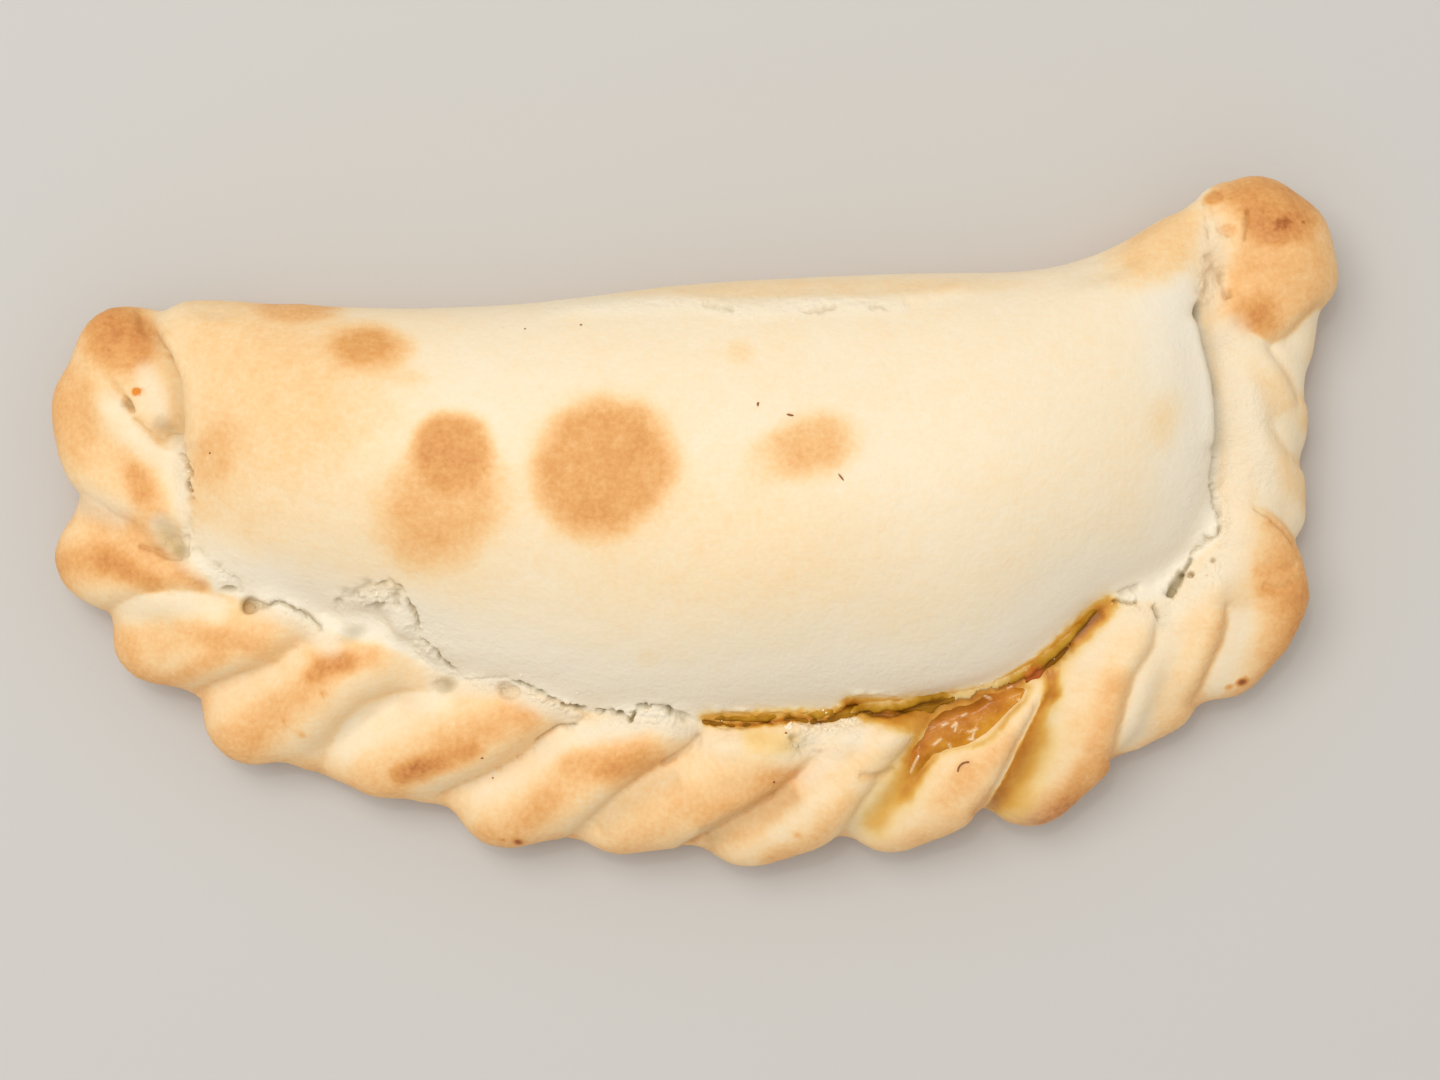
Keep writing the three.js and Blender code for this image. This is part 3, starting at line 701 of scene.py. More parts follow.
def evened(name, parts, voxel):
    """A new piece that unites meshes on an even grid."""
    bm = bmesh.new()
    for part in parts:
        bm.from_mesh(part)
        bpy.data.meshes.remove(part)
    united = mesh_of(bm, name)
    piece = object_of(name, united)
    remesh = piece.modifiers.new("even mesh", "REMESH")
    remesh.mode = "VOXEL"
    remesh.voxel_size = voxel
    seen = piece.evaluated_get(bpy.context.evaluated_depsgraph_get())
    piece.data = bpy.data.meshes.new_from_object(seen)
    piece.data.name = name
    piece.data.materials.clear()
    piece.modifiers.clear()
    bpy.data.meshes.remove(united)
    return piece


def flatten_base(mesh):
    """Joins the flat underside's many faces into few."""
    bm = bmesh.new()
    bm.from_mesh(mesh)
    flat = [f for f in bm.faces if all(v.co.z < BASE_BELOW for v in f.verts)]
    inner = {e for f in flat for e in f.edges if all(g.normal.z < -0.99 for g in e.link_faces)}
    low = {v for f in flat for v in f.verts}
    bmesh.ops.dissolve_limit(bm, angle_limit=BASE_ANGLE, edges=[e for e in bm.edges if e in inner],
                             verts=[v for v in bm.verts if v in low])
    bmesh.ops.triangulate(bm, faces=[f for f in bm.faces if len(f.verts) > 4])
    bm.to_mesh(mesh)
    bm.free()


def even_out(mesh):
    """Smooths away the facets, spares the creases, and gives back the height that smoothing takes."""
    smooth(mesh, FIRST_SMOOTHING)
    spared = 1 - SPARED_SHARE * eased(hollowness(mesh) / CRUST_VOXEL, HOLLOW_FROM, HOLLOW_TO)
    before = points_of(mesh)
    smooth(mesh, FACET_SMOOTHING, weight=spared)
    points = points_of(mesh)
    lost = np.einsum("ij,ij->i", before - points, normals_of(mesh))
    lost = Neighbours(mesh).soften(lost, REGAIN_SMOOTHING)
    put_points(mesh, points + normals_of(mesh) * lost[:, None])
    smooth(mesh, 2)


def on_top(mesh):
    """1 where the camera may see the point, 0 on the flanks' undersides."""
    return eased(normals_of(mesh)[:, 2], *TOP_FACING)


def shape_folds(mesh):
    """Cuts in the creases of the rope and raises the crest of the fold that overlaps at each."""
    points = points_of(mesh)
    where = in_frame(points)
    out, _ = along(where, SEAM)
    rise = ROPE_SWELL * eased(out, *ROPE_SWELL_REACH)
    for crease in CREASES:
        away, share = along(where, crease.line)
        ends = eased(share, *CREASE_START) * (1 - 0.6 * eased(share, *CREASE_END))
        cut = notch(away, crease.soft) * np.where(share <= 0, 0.25, 1) * np.where(share >= 1, 0.3, 1)
        crest = hump((away + crease.back) / (CREST_WIDTH * crease.back))
        rise += crease.crest * ends * crest - crease.depth * cut
    raise_points(mesh, points, rise * on_top(mesh))


def sway(mesh):
    """Gives the dough a slight unevenness."""
    points = points_of(mesh)
    rise = BROAD_SWAY_RISE * noise_at(points, *BROAD_SWAY) + FINE_SWAY_RISE * noise_at(points, *FINE_SWAY)
    raise_points(mesh, points, rise * on_top(mesh))


def refine(mesh, chosen):
    """Splits every edge between two chosen points."""
    bm = bmesh.new()
    bm.from_mesh(mesh)
    edges = [e for e in bm.edges if chosen[e.verts[0].index] and chosen[e.verts[1].index]]
    bmesh.ops.subdivide_edges(bm, edges=edges, cuts=1, use_grid_fill=True)
    bm.to_mesh(mesh)
    bm.free()


def near_details(mesh, reach):
    """Which points are within reach of a furrow, a dent or a scorch."""
    where = in_frame(points_of(mesh))
    found = np.zeros(len(where), bool)
    for furrow in FURROWS:
        away, _ = along(where, furrow.line)
        half = furrow.width / 2
        found |= (away > -reach - half) & (away < reach + max(LEAST_HALF_WIDTH, half))
    for spot in [*DENTS, *CRUMBLED, SPATTER]:
        found |= from_spot(where, spot, SPOT_REACH * reach) < 1
    for scorch in SCORCHES:
        found |= from_spot(where, scorch._replace(turn=0), SCORCH_REACH * reach) < 1
    return found


def near_creases(mesh, reach):
    where = in_frame(points_of(mesh))
    return np.any([np.abs(along(where, crease.line)[0]) < reach for crease in CREASES], axis=0)


def refine_details(mesh):
    """Refines what faces up near the details, twice where they are finest."""
    near = near_details(mesh, FINE_REACH) | near_creases(mesh, CREASE_REACH)
    refine(mesh, near & (normals_of(mesh)[:, 2] > 0))
    smooth(mesh, 1, weight=(normals_of(mesh)[:, 2] > UNDERSIDE_FACING).astype(float))
    refine(mesh, near_details(mesh, FINEST_REACH) & (normals_of(mesh)[:, 2] > 0))
    smooth(mesh, 2, weight=near_details(mesh, FINEST_REACH + 2).astype(float))


def shape_details(mesh):
    """Cuts the furrows, the holes and the dents, raises the crumbs, and paints shade into the furrows and
    holes.
    """
    points = points_of(mesh)
    where = in_frame(points)
    top = on_top(mesh)
    broad = drift(where, *BROAD_DRIFT)
    fine = drift(where, *FINE_DRIFT)
    uneven = np.clip(0.75 + 1.3 * noise_at(where, *BREAKS), 0.15, 1.2)
    rise = np.zeros(len(points))
    dark = np.zeros(len(points))
    for furrow in FURROWS:
        torn = where + furrow.ragged * (1.2 * broad + 0.5 * fine)
        away, share = along(torn, furrow.line)
        inside = eased(share, -0.01, 0.08) * (1 - eased(share, 0.92, 1.01))
        inside[(share <= 0) | (share >= 1)] = 0
        if furrow.ragged > BROKEN_FROM:
            inside *= uneven
        rise += furrow.height * hump(away / furrow.width) * inside
        dark = np.maximum(dark, furrow.dark * hump(away / (1.1 * furrow.width)) * inside)
    for dent in DENTS:
        gap = from_spot(where, dent) + 0.08 * broad[:, 0]
        inside = 1 - eased(gap, dent.floor, 1.15)
        rise -= dent.depth * inside
        if dent.lit is not None:
            lit = math.radians(dent.lit)
            towards = (where - np.array(dent.at)) @ np.array([math.cos(lit), math.sin(lit)])
            inside = inside * (1 - LIT_SHARE * eased(towards / dent.radii[0], -0.7, 0.8))
        dark = np.maximum(dark, dent.dark * inside)
    crumbs = np.abs(noise_at(where, *COARSE_CRUMBS)) + 0.6 * np.abs(noise_at(where, *FINE_CRUMBS)) - 0.25
    for area in CRUMBLED:
        gap = from_spot(where, area) + 0.2 * broad[:, 1]
        rise += CRUMB_SWELL * area.rise * crumbs * (1 - eased(gap, 0.5, 1.1))
    # painted shade in the furrows and holes, which the material darkens
    keep_field(mesh, "dark", dark * top)
    raise_points(mesh, points, rise * top)


def laid_over(level, brown, cover):
    return level + (brown - level) * cover


class Browning:
    """How brown, scorched, raw and stained the dough is at every point of the crust."""

    def __init__(self, mesh):
        points = points_of(mesh)
        self.height = points[:, 2]
        self.where = in_frame(points)
        self.top = on_top(mesh)
        self.patchy = noise_at(points, *PATCHY)
        self.grainy = noise_at(points, *GRAINY)
        self.torn = noise_at(points, *TORN)

    def from_band(self, band, patchy, grainy):
        """How many widths every point is from a band's line, with an uneven edge."""
        away, _ = along(self.where, band.line)
        return np.abs(away) / band.width + patchy * self.patchy + grainy * self.grainy

    def bake(self):
        out, _ = along(self.where, SEAM)
        rope = eased(out, -2, 6)
        level = np.where(out > 0, ROPE_BROWN, BODY_BROWN) + 0.03 * self.patchy
        level = laid_over(level, 0.0, 0.9 * (1 - rope) * (1 - eased(-out, *PALE_REACH)) * self.top)
        level = laid_over(level, ROPE_FLANK_BROWN, rope * (1 - eased(self.height, *ROPE_FLANK)))
        level = laid_over(level, BODY_FLANK_BROWN, (1 - rope) * (1 - eased(self.height, *BODY_FLANK)))
        for spot in SPOTS:
            gap = from_spot(self.where, spot) + 0.08 * self.patchy + 0.04 * self.grainy
            level = laid_over(level, spot.brown, spot.cover * (1 - eased(gap, spot.crisp, 1.1)) * self.top)
        for band in BANDS:
            gap = self.from_band(band, 0.15, 0.08)
            level = laid_over(level, band.brown, band.cover * (1 - eased(gap, 0.0, 1.2)) * self.top)
        for crease in CREASES:
            away, share = along(self.where, crease.line)
            reach = eased(share, 0.0, 0.3) * (1 - eased(share, 0.9, 1.0))
            pale = hump(np.maximum(away - 14, 0) / 13) * eased(away, -2, 3) * reach
            level = laid_over(level, crease.valley, 0.9 * pale * rope * self.top)
        foot = 1 - eased(self.height + 0.4 * MM * self.patchy, *FOOT)
        return laid_over(level, FOOT_BROWN, 0.85 * foot)

    def scorch(self):
        gaps = [from_spot(self.where, speck) + 0.2 * self.grainy for speck in SCORCHES]
        specks = [speck.share * (1 - eased(gap, 0.2, 1.2)) for speck, gap in zip(SCORCHES, gaps)]
        return self.top * np.max(specks, axis=0)

    def raw(self):
        areas = [area.share * (1 - eased(self.from_band(area, 0.2, 0.15), 0.2, 1.5)) for area in RAW]
        return self.top * np.max(areas, axis=0)

    def stain(self):
        level = np.zeros(len(self.where))
        for area in STAINS:
            gap = self.from_band(area, 0.12, 0.12) + min(2.4 / area.width, 0.35) * self.torn
            soaked = area.share * hump(np.maximum(gap, 0))
            if area.past is not None:
                beyond, _ = along(self.where, CREASES[area.past].line)
                soaked *= eased(beyond, -1, 1.5)
            level = level + soaked - level * soaked
        return self.top * level

    def spatter(self):
        return self.top * (1 - eased(from_spot(self.where, SPATTER) + 0.25 * self.torn, 0.7, 1.1))


def make_crust():
    bed = filling_copy(BED_SWELL, BED_SINK)
    crust = evened("baked_crust", [copy_of(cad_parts["crust"]), bed, hole_plugs()], CRUST_VOXEL)
    mesh = crust.data
    even_out(mesh)
    shape_folds(mesh)
    smooth(mesh, 1)
    sway(mesh)
    flatten_base(mesh)
    refine_details(mesh)
    shape_details(mesh)
    browning = Browning(mesh)
    keep_field(mesh, "bake", browning.bake())
    keep_field(mesh, "scorch", browning.scorch())
    keep_field(mesh, "raw", browning.raw())
    keep_field(mesh, "stain", browning.stain())
    keep_field(mesh, "spatter", browning.spatter())
    mesh.shade_smooth()
    return crust


# ------------------------------------------------------------------ the filling

# The thin cracks along the split, on the body's side of the juice, and how far on both sides they
# colour it, in pixels.
CRACKS = [
    [(700, 719), (722, 722), (760, 724), (781, 719), (799, 715), (819, 721), (831, 717), (843, 704),
     (854, 699)],
    [(860, 713), (882, 714), (902, 712), (922, 705), (942, 700)],
    [(1004, 690), (1030, 677), (1047, 665), (1072, 643), (1098, 612)],
]
CRACK_REACH = 12.0
PEPPER = Ellipse((1034, 674), (15, 8), -35)  # a bit of cooked red pepper
POOL_RIM = [(905, 790), (945, 757), (985, 738), (1020, 712), (1040, 690)]  # where the pool runs thin
# where shade is painted along the pool's upper edge, under the body's lip
POOL_SHADE = [(912, 744), (920, 730), (930, 719), (944, 711), (960, 706), (975, 702), (986, 695)]
# wrinkles raised in the skin of the pool, with highlights painted along them in a pale colour
WRINKLES_AND_PAINTED_GLINTS = [
    [(934, 745), (941, 739)], [(942, 726), (948, 723)], [(952, 727), (957, 723), (955, 731)],
    [(949, 744), (951, 749)], [(969, 732), (977, 729)], [(969, 739), (974, 740), (979, 744)],
    [(974, 732), (972, 740)], [(918, 757), (915, 763), (911, 773)], [(985, 696), (991, 699)],
    [(1008, 688), (1015, 685)], [(1019, 700), (1023, 704)], [(962, 716), (966, 714)],
]
WRINKLE_AND_GLINT_WIDTH = 0.95


def pool_slab():
    """A slab with the outline of the pool."""
    bm = bmesh.new()
    lid = bm.faces.new([bm.verts.new(at_height(pixel, POOL_TOP)) for pixel in POOL_EDGE])
    made = bmesh.ops.extrude_face_region(bm, geom=[lid])["geom"]
    lower = [v for v in made if isinstance(v, bmesh.types.BMVert)]
    bmesh.ops.translate(bm, verts=lower, vec=(0, 0, POOL_BOTTOM - POOL_TOP))
    bmesh.ops.triangulate(bm, faces=bm.faces)
    bmesh.ops.recalc_face_normals(bm, faces=bm.faces)
    return mesh_of(bm, "pool slab")


def level_pool(points, inside, crust):
    """Lowers the pool to a flat puddle that runs thin on the crust at its edge."""
    thick = POOL_THICK * eased(inside, 0, POOL_BRIM) - POOL_EDGE_SINK
    for k in np.nonzero(inside > -POOL_SOFT_EDGE)[0]:
        below = crust.ray_cast(Vector((*points[k, :2], 2 * POOL_TOP)), Vector((0, 0, -1)))[0]
        points[k, 2] = min(points[k, 2], POOL_TOP, below.z + thick[k] * MM)


def nearest_crack(where):
    """How far every place is from the nearest crack, above 0 on its right."""
    torn = where + 1.2 * drift(where, *CRACK_DRIFT)
    nearest = np.full(len(where), -CRACK_REACH)
    for line in CRACKS:
        away, _ = along(torn, line)
        nearest = np.where(np.abs(away) < np.abs(nearest), away, nearest)
    return nearest


def make_juice(crust):
    """The set stew juice: a cracked string along the split and a flat pool."""
    juice = evened("stew_juice", [filling_copy(JUICE_SWELL), pool_slab()], JUICE_VOXEL)
    mesh = juice.data
    smooth(mesh, 6)
    points = points_of(mesh)
    where = in_frame(points)
    ragged = where + 1.6 * drift(where, *POOL_DRIFT)
    inside, _ = along(ragged, POOL_EDGE + POOL_EDGE[:1])
    level_pool(points, inside, crust)
    put_points(mesh, points)
    pool = eased(inside, -POOL_SOFT_EDGE, 0)
    smooth(mesh, 3, weight=pool)
    points = points_of(mesh)
    nearest = nearest_crack(where)
    crack = hump(nearest / 2)
    lip = eased(-nearest, 0, 3) * (nearest > -CRACK_REACH)
    pepper = 1 - eased(from_spot(where, PEPPER), 0.4, 1.1)
    wrinkle_and_glint = np.max([hump(along(where, line)[0] / WRINKLE_AND_GLINT_WIDTH) for line in WRINKLES_AND_PAINTED_GLINTS], axis=0)
    lumps = noise_at(points, *JUICE_LUMPS)
    rise = 0.06 * lumps + 0.03 * noise_at(points, *JUICE_GRAIN) + 0.1 * wrinkle_and_glint
    rise += (1 - pool) * (0.3 * lip - 0.35 * crack) + 0.35 * pepper * (1 + lumps)
    frayed = 0.25 * noise_at(points, *FRAYED) + 0.12 * noise_at(points, *FINELY_FRAYED)
    raise_points(mesh, points, rise + (1 - pool) * frayed)
    keep_field(mesh, "pool", pool)
    keep_field(mesh, "thin", 1 - eased(-along(where, POOL_RIM)[0], 2, 26))
    keep_field(mesh, "across", 0.5 + nearest / (2 * CRACK_REACH))
    keep_field(mesh, "pepper", pepper)
    # painted highlights along the wrinkles of the pool
    keep_field(mesh, "wrinkle_and_glint", wrinkle_and_glint)
    keep_field(mesh, "shade", hump(along(ragged, POOL_SHADE)[0] / 6))
    mesh.shade_smooth()
    return juice


# ------------------------------------------------------------------ what lies on the crust

# Torn scraps of dough along the seam: how many, how long in pixels, and how far they stray from the line.
SCRAPS = table("line count long stray", [], [
    ([(194, 552), (222, 572), (240, 588)], 6, (3, 6), 7),
    ([(346, 596), (378, 592), (404, 600)], 6, (4, 8), 4),
    ([(404, 606), (424, 640), (452, 672)], 5, (3, 6), 4),
    ([(518, 688), (560, 709), (592, 720)], 7, (3, 6), 3),
    ([(596, 720), (622, 721), (650, 714), (690, 729)], 12, (3, 7), 4),
    ([(784, 728), (806, 727), (828, 729), (858, 720)], 26, (4, 10), 4),
    ([(1112, 606), (1134, 598), (1146, 606)], 6, (3, 6), 4),
    ([(1180, 600), (1200, 580), (1218, 562)], 11, (3, 7), 9),
    ([(1220, 540), (1226, 515), (1220, 488), (1221, 462)], 8, (3, 6), 4),
    ([(182, 456), (191, 474), (190, 490)], 6, (3, 5), 3),
])
CRUMB_COUNT = 30

# Flecks of dried herb: length and width in pixels, and turn in degrees. One is a curl: where its middle
# is, how wide it is bent and how thick it is, in pixels, and from where it sweeps how far, in degrees.
FLECKS = table("at size turn", [], [
    ((758, 404), (5, 2), 80),
    ((790, 415), (6, 2.4), -10),
    ((841, 477), (7, 2), -50),
    ((581, 325), (2.4, 2), 0),
    ((525, 329), (2, 1.6), 0),
    ((210, 453), (2.6, 1.6), 40),
    ((774, 782), (2.6, 2), 0),
    ((482, 758), (2.8, 2), 10),
    ((493, 778), (2, 1.6), 0),
    ((786, 733), (2.6, 2.2), 0),
])
FLECK_HIGH = 1.4
CURL = {"at": (968, 772), "radius": 10, "thick": 1.7, "from": 180, "sweep": -95}


def tree_of(pieces):
    """What rays meet: the pieces' surfaces together."""
    bm = bmesh.new()
    for piece in pieces:
        bm.from_mesh(piece.data)
    tree = BVHTree.FromBMesh(bm)
    bm.free()
    return tree


def seat(spot, up):
    """A frame at the spot whose Z is up and whose X runs across as the camera sees it."""
    across = (Vector((1, 0, 0)) - up * up.x).normalized()
    frame_of_spot = Matrix((across, up.cross(across), up)).transposed().to_4x4()
    return Matrix.Translation(spot) @ frame_of_spot


def lay(bm, tree, pixel, size, turn, seed, rough=0.35, sunk=0.3):
    """Adds a rough lump of that length, width and height, laid on the surface seen at the pixel."""
    spot, up, _, _ = tree.ray_cast(CAMERA_AT, camera_ray(pixel))
    if spot is None:
        return
    made = bmesh.ops.create_icosphere(bm, subdivisions=2, radius=0.5)["verts"]
    for vert in made:
        vert.co *= 1 + rough * noise.noise(vert.co * 3.1 + Vector((seed, 0, 0)))
        vert.co += 0.25 * rough * noise.noise_vector(vert.co * 7 + Vector((0, seed, 0)))
    shape = Matrix.Rotation(turn, 4, "Z") @ Matrix.Diagonal((*size, 1))
    bmesh.ops.transform(bm, verts=made, matrix=seat(spot + up * size[2] * (0.5 - sunk), up) @ shape)


def piece_of(name, bm, material):
    bmesh.ops.recalc_face_normals(bm, faces=bm.faces)
    mesh = mesh_of(bm, name)
    mesh.shade_smooth()
    mesh.materials.append(material)
    piece = object_of(name, mesh)
    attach(piece, ROOT)
    return piece


def make_scraps(tree, material):
    draw = random.Random(7)
    bm = bmesh.new()
    for row in SCRAPS:
        for _ in range(row.count):
            place, heading = point_along(row.line, draw.random())
            pixel = (place[0] + draw.gauss(0, row.stray / 2), place[1] + draw.gauss(0, row.stray / 2))
            long = draw.uniform(*row.long) * PIXEL
            size = (long, long * draw.uniform(0.25, 0.5), long * draw.uniform(0.2, 0.35))
            turn = heading + draw.gauss(0, 1.0)
            lay(bm, tree, pixel, size, turn, draw.uniform(0, 90), rough=0.6, sunk=0.65)
    for _ in range(CRUMB_COUNT):
        place, _ = point_along(SEAM, draw.uniform(0.2, 0.95))
        pixel = (place[0] + draw.gauss(0, 9), place[1] + draw.gauss(0, 9))
        size = draw.uniform(1.2, 2.8) * PIXEL
        lay(bm, tree, pixel, (size, size * 0.8, size * 0.7), draw.uniform(0, 6), draw.uniform(0, 90))
    return piece_of("torn_dough", bm, material)


def add_curl(bm, tree):
    """Adds the thin curl: a disc spun through an arc."""
    spot, up, _, _ = tree.ray_cast(CAMERA_AT, camera_ray(CURL["at"]))
    laid = set(bm.verts)
    ring = bmesh.ops.create_circle(bm, cap_ends=True, radius=CURL["thick"] / 2 * PIXEL, segments=8)["verts"]
    turned = Matrix.Translation((CURL["radius"] * PIXEL, 0, 0)) @ Matrix.Rotation(math.pi / 2, 4, "X")
    bmesh.ops.transform(bm, verts=ring, matrix=turned)
    faces = [f for f in bm.faces if f.verts[0] in ring]
    edges = [e for e in bm.edges if e.verts[0] in ring]
    bmesh.ops.spin(bm, geom=ring + edges + faces, cent=(0, 0, 0), axis=(0, 0, 1),
                   angle=math.radians(CURL["sweep"]), steps=12, dvec=(0, 0, 0))
    placed = seat(spot + up * 0.6 * PIXEL, up) @ Matrix.Rotation(math.radians(CURL["from"]), 4, "Z")
    bmesh.ops.transform(bm, verts=[v for v in bm.verts if v not in laid], matrix=placed)


def make_flecks(tree, material):
    bm = bmesh.new()
    for k, fleck in enumerate(FLECKS):
        size = (fleck.size[0] * PIXEL, fleck.size[1] * PIXEL, FLECK_HIGH * PIXEL)
        lay(bm, tree, fleck.at, size, math.radians(fleck.turn), k * 3.7, rough=0.5)
    add_curl(bm, tree)
    return piece_of("herb_flecks", bm, material)


# ------------------------------------------------------------------ materials

def linear(red, green, blue):
    """A colour given as it shows, 0 to 255, as the light that a shader takes."""
    shown = [c / 255 for c in (red, green, blue)]
    return (*((c / 12.92 if c <= 0.04 else ((c + 0.055) / 1.055) ** 2.4) for c in shown), 1)


class Wiring:
    """Short words for building a material's nodes."""

    def __init__(self, name):
        self.material = bpy.data.materials.new(name)
        self.material.use_nodes = True
        self.tree = self.material.node_tree
        self.shader = self.tree.nodes["Principled BSDF"]

    def add(self, kind, **settings):
        made = self.tree.nodes.new("ShaderNode" + kind)
        for name, value in settings.items():
            setattr(made, name, value)
        return made

    def feed(self, target, value):
        if isinstance(value, bpy.types.NodeSocket):
            self.tree.links.new(value, target)
        else:
            target.default_value = value

    def set(self, **values):
        for name, value in values.items():
            self.feed(self.shader.inputs[name.replace("_", " ")], value)

    def field(self, name):
        return self.add("Attribute", attribute_name=name).outputs["Fac"]

    def math(self, operation, first, second=0.0, clamp=False):
        made = self.add("Math", operation=operation, use_clamp=clamp)
        self.feed(made.inputs[0], first)
        self.feed(made.inputs[1], second)
        return made.outputs[0]

    def noise(self, scale, detail=3.0, rough=0.5):
        made = self.add("TexNoise")
        self.feed(made.inputs["Vector"], self.add("TexCoord").outputs["Object"])
        made.inputs["Scale"].default_value = scale
        made.inputs["Detail"].default_value = detail
        made.inputs["Roughness"].default_value = rough
        return made.outputs["Fac"]

    def ramp(self, value, stops):
        """The colour at a value, between stops that are given as they show."""
        made = self.add("ValToRGB")
        self.feed(made.inputs["Fac"], value)
        steps = made.color_ramp.elements
        while len(steps) < len(stops):
            steps.new(0.5)
        for step, (at, *colour) in zip(steps, stops):
            step.position = at
            step.color = linear(*colour)
        return made.outputs["Color"]

    def mix(self, share, first, second):
        made = self.add("Mix", data_type="RGBA")
        self.feed(made.inputs["Factor"], share)
        self.feed([s for s in made.inputs if s.name == "A" and s.type == "RGBA"][0], first)
        self.feed([s for s in made.inputs if s.name == "B" and s.type == "RGBA"][0], second)
        return [s for s in made.outputs if s.type == "RGBA"][0]

    def tint(self, colour, field, share, *shown):
        """The colour with another laid over it where the field is, up to that share."""
        return self.mix(self.math("MULTIPLY", field, share), colour, linear(*shown))

    def times(self, first, second):
        """Two colours multiplied."""
        made = self.mix(1.0, first, second)
        made.node.blend_type = "MULTIPLY"
        return made

    def blend(self, share, first, second):
        """A number between two."""
        made = self.add("MapRange")
        self.feed(made.inputs["Value"], share)
        self.feed(made.inputs["To Min"], first)
        self.feed(made.inputs["To Max"], second)
        return made.outputs["Result"]

    def bump(self, height, distance, strength=1.0, below=None):
        made = self.add("Bump")
        made.inputs["Distance"].default_value = distance
        made.inputs["Strength"].default_value = strength
        self.feed(made.inputs["Height"], height)
        if below is not None:
            self.feed(made.inputs["Normal"], below)
        return made.outputs["Normal"]

    def swing(self, wave, least, by, share):
        """A wave about 0 whose swing grows with the share: least where that is 0."""
        size = self.math("MULTIPLY_ADD", share, by)
        self.feed(size.node.inputs[2], least)
        return self.math("MULTIPLY", self.math("SUBTRACT", wave, 0.5), size)


# Colours as they show, after how baked or how soaked the dough has to be for each.
DOUGH_COLOURS = [
    (0.00, 246, 235, 214), (0.10, 247, 229, 197), (0.20, 248, 220, 176), (0.30, 246, 206, 150),
    (0.42, 240, 187, 124), (0.55, 228, 166, 96), (0.70, 212, 142, 76), (0.85, 180, 106, 50),
    (1.00, 120, 64, 30),
]
STAIN_COLOURS = [
    (0.0, 246, 228, 186), (0.25, 238, 204, 130), (0.5, 222, 165, 68), (0.75, 196, 126, 34),
    (1.0, 150, 92, 22),
]
# The string of juice, from the body's side across a crack to the rope's; darkest at the crack itself, partly
# the juice's colour and partly painted shade in the crack.
STRING_COLOURS = [
    (0.05, 226, 196, 132), (0.22, 194, 147, 50), (0.38, 170, 120, 18), (0.50, 122, 78, 13),
    (0.62, 146, 96, 14), (0.85, 168, 118, 20),
]
SHADED = (0.36, 0.32, 0.19, 1)  # how much of its colour is left where shade is painted into cracks, holes and dents


def baked_dough():
    w = Wiring("baked dough")
    broad = w.noise(75, 2)
    mottled = w.noise(430, 4, 0.6)
    grain = w.noise(1700, 3, 0.6)
    bake = w.field("bake")
    raw = w.field("raw")
    stain = w.field("stain")
    level = w.math("ADD", bake, w.swing(mottled, 0.05, 0.42, bake))
    level = w.math("ADD", level, w.swing(broad, 0.05, 0.10, bake))
    level = w.math("ADD", level, w.swing(grain, 0.06, 0.45, bake), clamp=True)
    level = w.blend(w.field("scorch"), level, 0.97)
    colour = w.tint(w.ramp(level, DOUGH_COLOURS), raw, 0.8, 246, 233, 208)
    soak = w.math("ADD", stain, w.swing(mottled, 0.0, 0.5, stain), clamp=True)
    colour = w.mix(w.math("MULTIPLY", stain, 2.5, clamp=True), colour, w.ramp(soak, STAIN_COLOURS))
    # painted shade: darker where the furrows, holes and dents are
    colour = w.mix(w.field("dark"), colour, w.times(colour, SHADED))
    colour = w.mix(w.field("spatter"), colour, linear(228, 138, 40))
    rough = w.blend(stain, w.blend(raw, 0.55, 0.85), 0.25)
    soft = w.bump(mottled, 0.25 * MM, 0.5)
    floury = w.bump(w.math("MULTIPLY", w.noise(900, 5, 0.65), raw), 0.5 * MM, 0.7, soft)
    w.set(Base_Color=colour, Roughness=rough, Normal=w.bump(grain, 0.1 * MM, 0.6, floury))
    w.set(Subsurface_Weight=0.08, Subsurface_Radius=(1.0, 0.7, 0.5), Subsurface_Scale=1.0 * MM)
    w.set(Specular_IOR_Level=0.3)
    return w.material


def torn_dough():
    w = Wiring("torn dough")
    lumps = w.noise(900, 3, 0.6)
    colour = w.ramp(lumps, [(0.3, 246, 230, 200), (0.7, 252, 240, 214)])
    w.set(Base_Color=colour, Roughness=0.8, Normal=w.bump(lumps, 0.08 * MM, 0.6), Specular_IOR_Level=0.3)
    return w.material


def stew_juice():
    w = Wiring("set stew juice")
    lumps = w.noise(420, 3, 0.6)
    fine = w.noise(1300, 3, 0.5)
    pool = w.field("pool")
    caramel = w.ramp(lumps, [(0.3, 208, 138, 60), (0.5, 190, 116, 38), (0.7, 164, 92, 22)])
    amber = w.ramp(lumps, [(0.35, 216, 156, 42), (0.65, 196, 124, 16)])
    across = w.math("ADD", w.field("across"), w.swing(lumps, 0.35, 0.0, 0.0), clamp=True)
    colour = w.mix(pool, w.ramp(across, STRING_COLOURS), w.mix(w.field("thin"), caramel, amber))
    colour = w.tint(colour, w.field("pepper"), 0.55, 200, 92, 44)
    # painted shade along the pool's upper edge
    colour = w.tint(colour, w.field("shade"), 0.7, 142, 88, 26)
    # painted highlights along the wrinkles of the pool
    colour = w.tint(colour, w.field("wrinkle_and_glint"), 0.8, 250, 226, 180)
    ripples = w.bump(fine, 0.12 * MM, 0.8, w.bump(lumps, 0.25 * MM, 0.6))
    w.set(Base_Color=colour, Roughness=w.blend(pool, 0.45, 0.1), Normal=ripples)
    w.set(Specular_IOR_Level=w.blend(pool, 0.12, 0.25))
    return w.material


def dried_herb():
    w = Wiring("dried herb")
    specks = w.noise(2500, 2)
    w.set(Base_Color=w.ramp(specks, [(0.3, 128, 76, 34), (0.7, 170, 108, 56)]), Roughness=0.75)
    return w.material


# ------------------------------------------------------------------ the stage

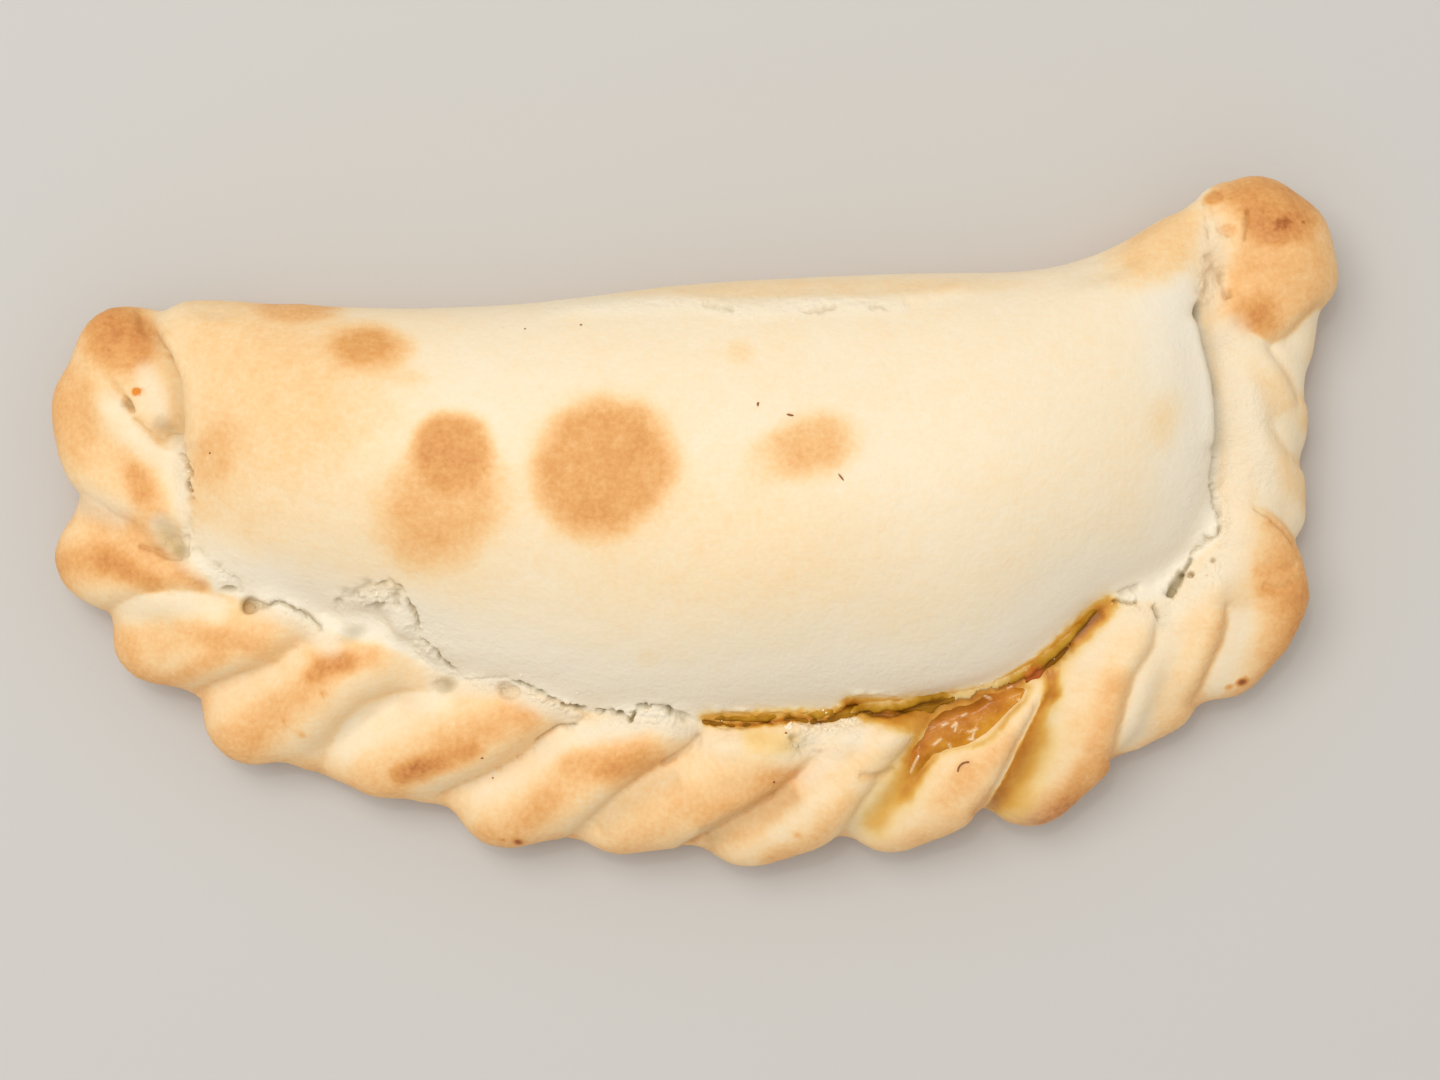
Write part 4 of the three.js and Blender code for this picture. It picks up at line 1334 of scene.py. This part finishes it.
FLOOR_REACH = 1.5
FLOOR_COLOUR = (0.60, 0.58, 0.55, 1)
LAMPS = [
    {"name": "window", "at": (-0.24, 0.22, 0.84), "size": 0.60, "power": 3.6},
    {"name": "bulb", "at": (-0.10, 0.20, 0.90), "size": 0.025, "power": 0.35},
]
LAMP_COLOUR = (1.0, 0.99, 0.97)
ROOM_COLOUR = (1.0, 0.985, 0.96, 1)
ROOM_LIGHT = 0.65


def make_floor():
    bm = bmesh.new()
    bmesh.ops.create_grid(bm, x_segments=1, y_segments=1, size=FLOOR_REACH)
    floor = object_of("floor", mesh_of(bm, "floor"))
    w = Wiring("pale floor")
    w.set(Base_Color=FLOOR_COLOUR, Roughness=0.8)
    floor.data.materials.append(w.material)


def add_lights():
    for lamp in LAMPS:
        data = bpy.data.lights.new(lamp["name"], "AREA")
        data.shape = "DISK"
        data.size = lamp["size"]
        data.energy = lamp["power"]
        data.color = LAMP_COLOUR
        made = object_of(lamp["name"], data)
        made.location = lamp["at"]
        made.rotation_euler = (-Vector(lamp["at"])).to_track_quat("-Z", "Y").to_euler()
    world = bpy.data.worlds.new("room")
    world.use_nodes = True
    world.node_tree.nodes["Background"].inputs["Color"].default_value = ROOM_COLOUR
    world.node_tree.nodes["Background"].inputs["Strength"].default_value = ROOM_LIGHT
    bpy.context.scene.world = world
    bpy.context.scene.view_settings.view_transform = "Standard"


def add_camera():
    data = bpy.data.cameras.new("camera")
    data.sensor_width = SENSOR_WIDE
    data.lens = LENS
    data.clip_start = 0.01
    camera = object_of("camera", data)
    camera.location = CAMERA_AT
    bpy.context.scene.camera = camera


# ------------------------------------------------------------------ everything together

crust = make_crust()
crust.data.materials.append(baked_dough())
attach(crust, ROOT)
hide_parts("crust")

juice = make_juice(tree_of([crust]))
juice.data.materials.append(stew_juice())
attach(juice, ROOT)
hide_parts("filling")

surface = tree_of([crust, juice])
scraps = make_scraps(surface, torn_dough())
flecks = make_flecks(surface, dried_herb())

make_floor()
add_lights()
add_camera()
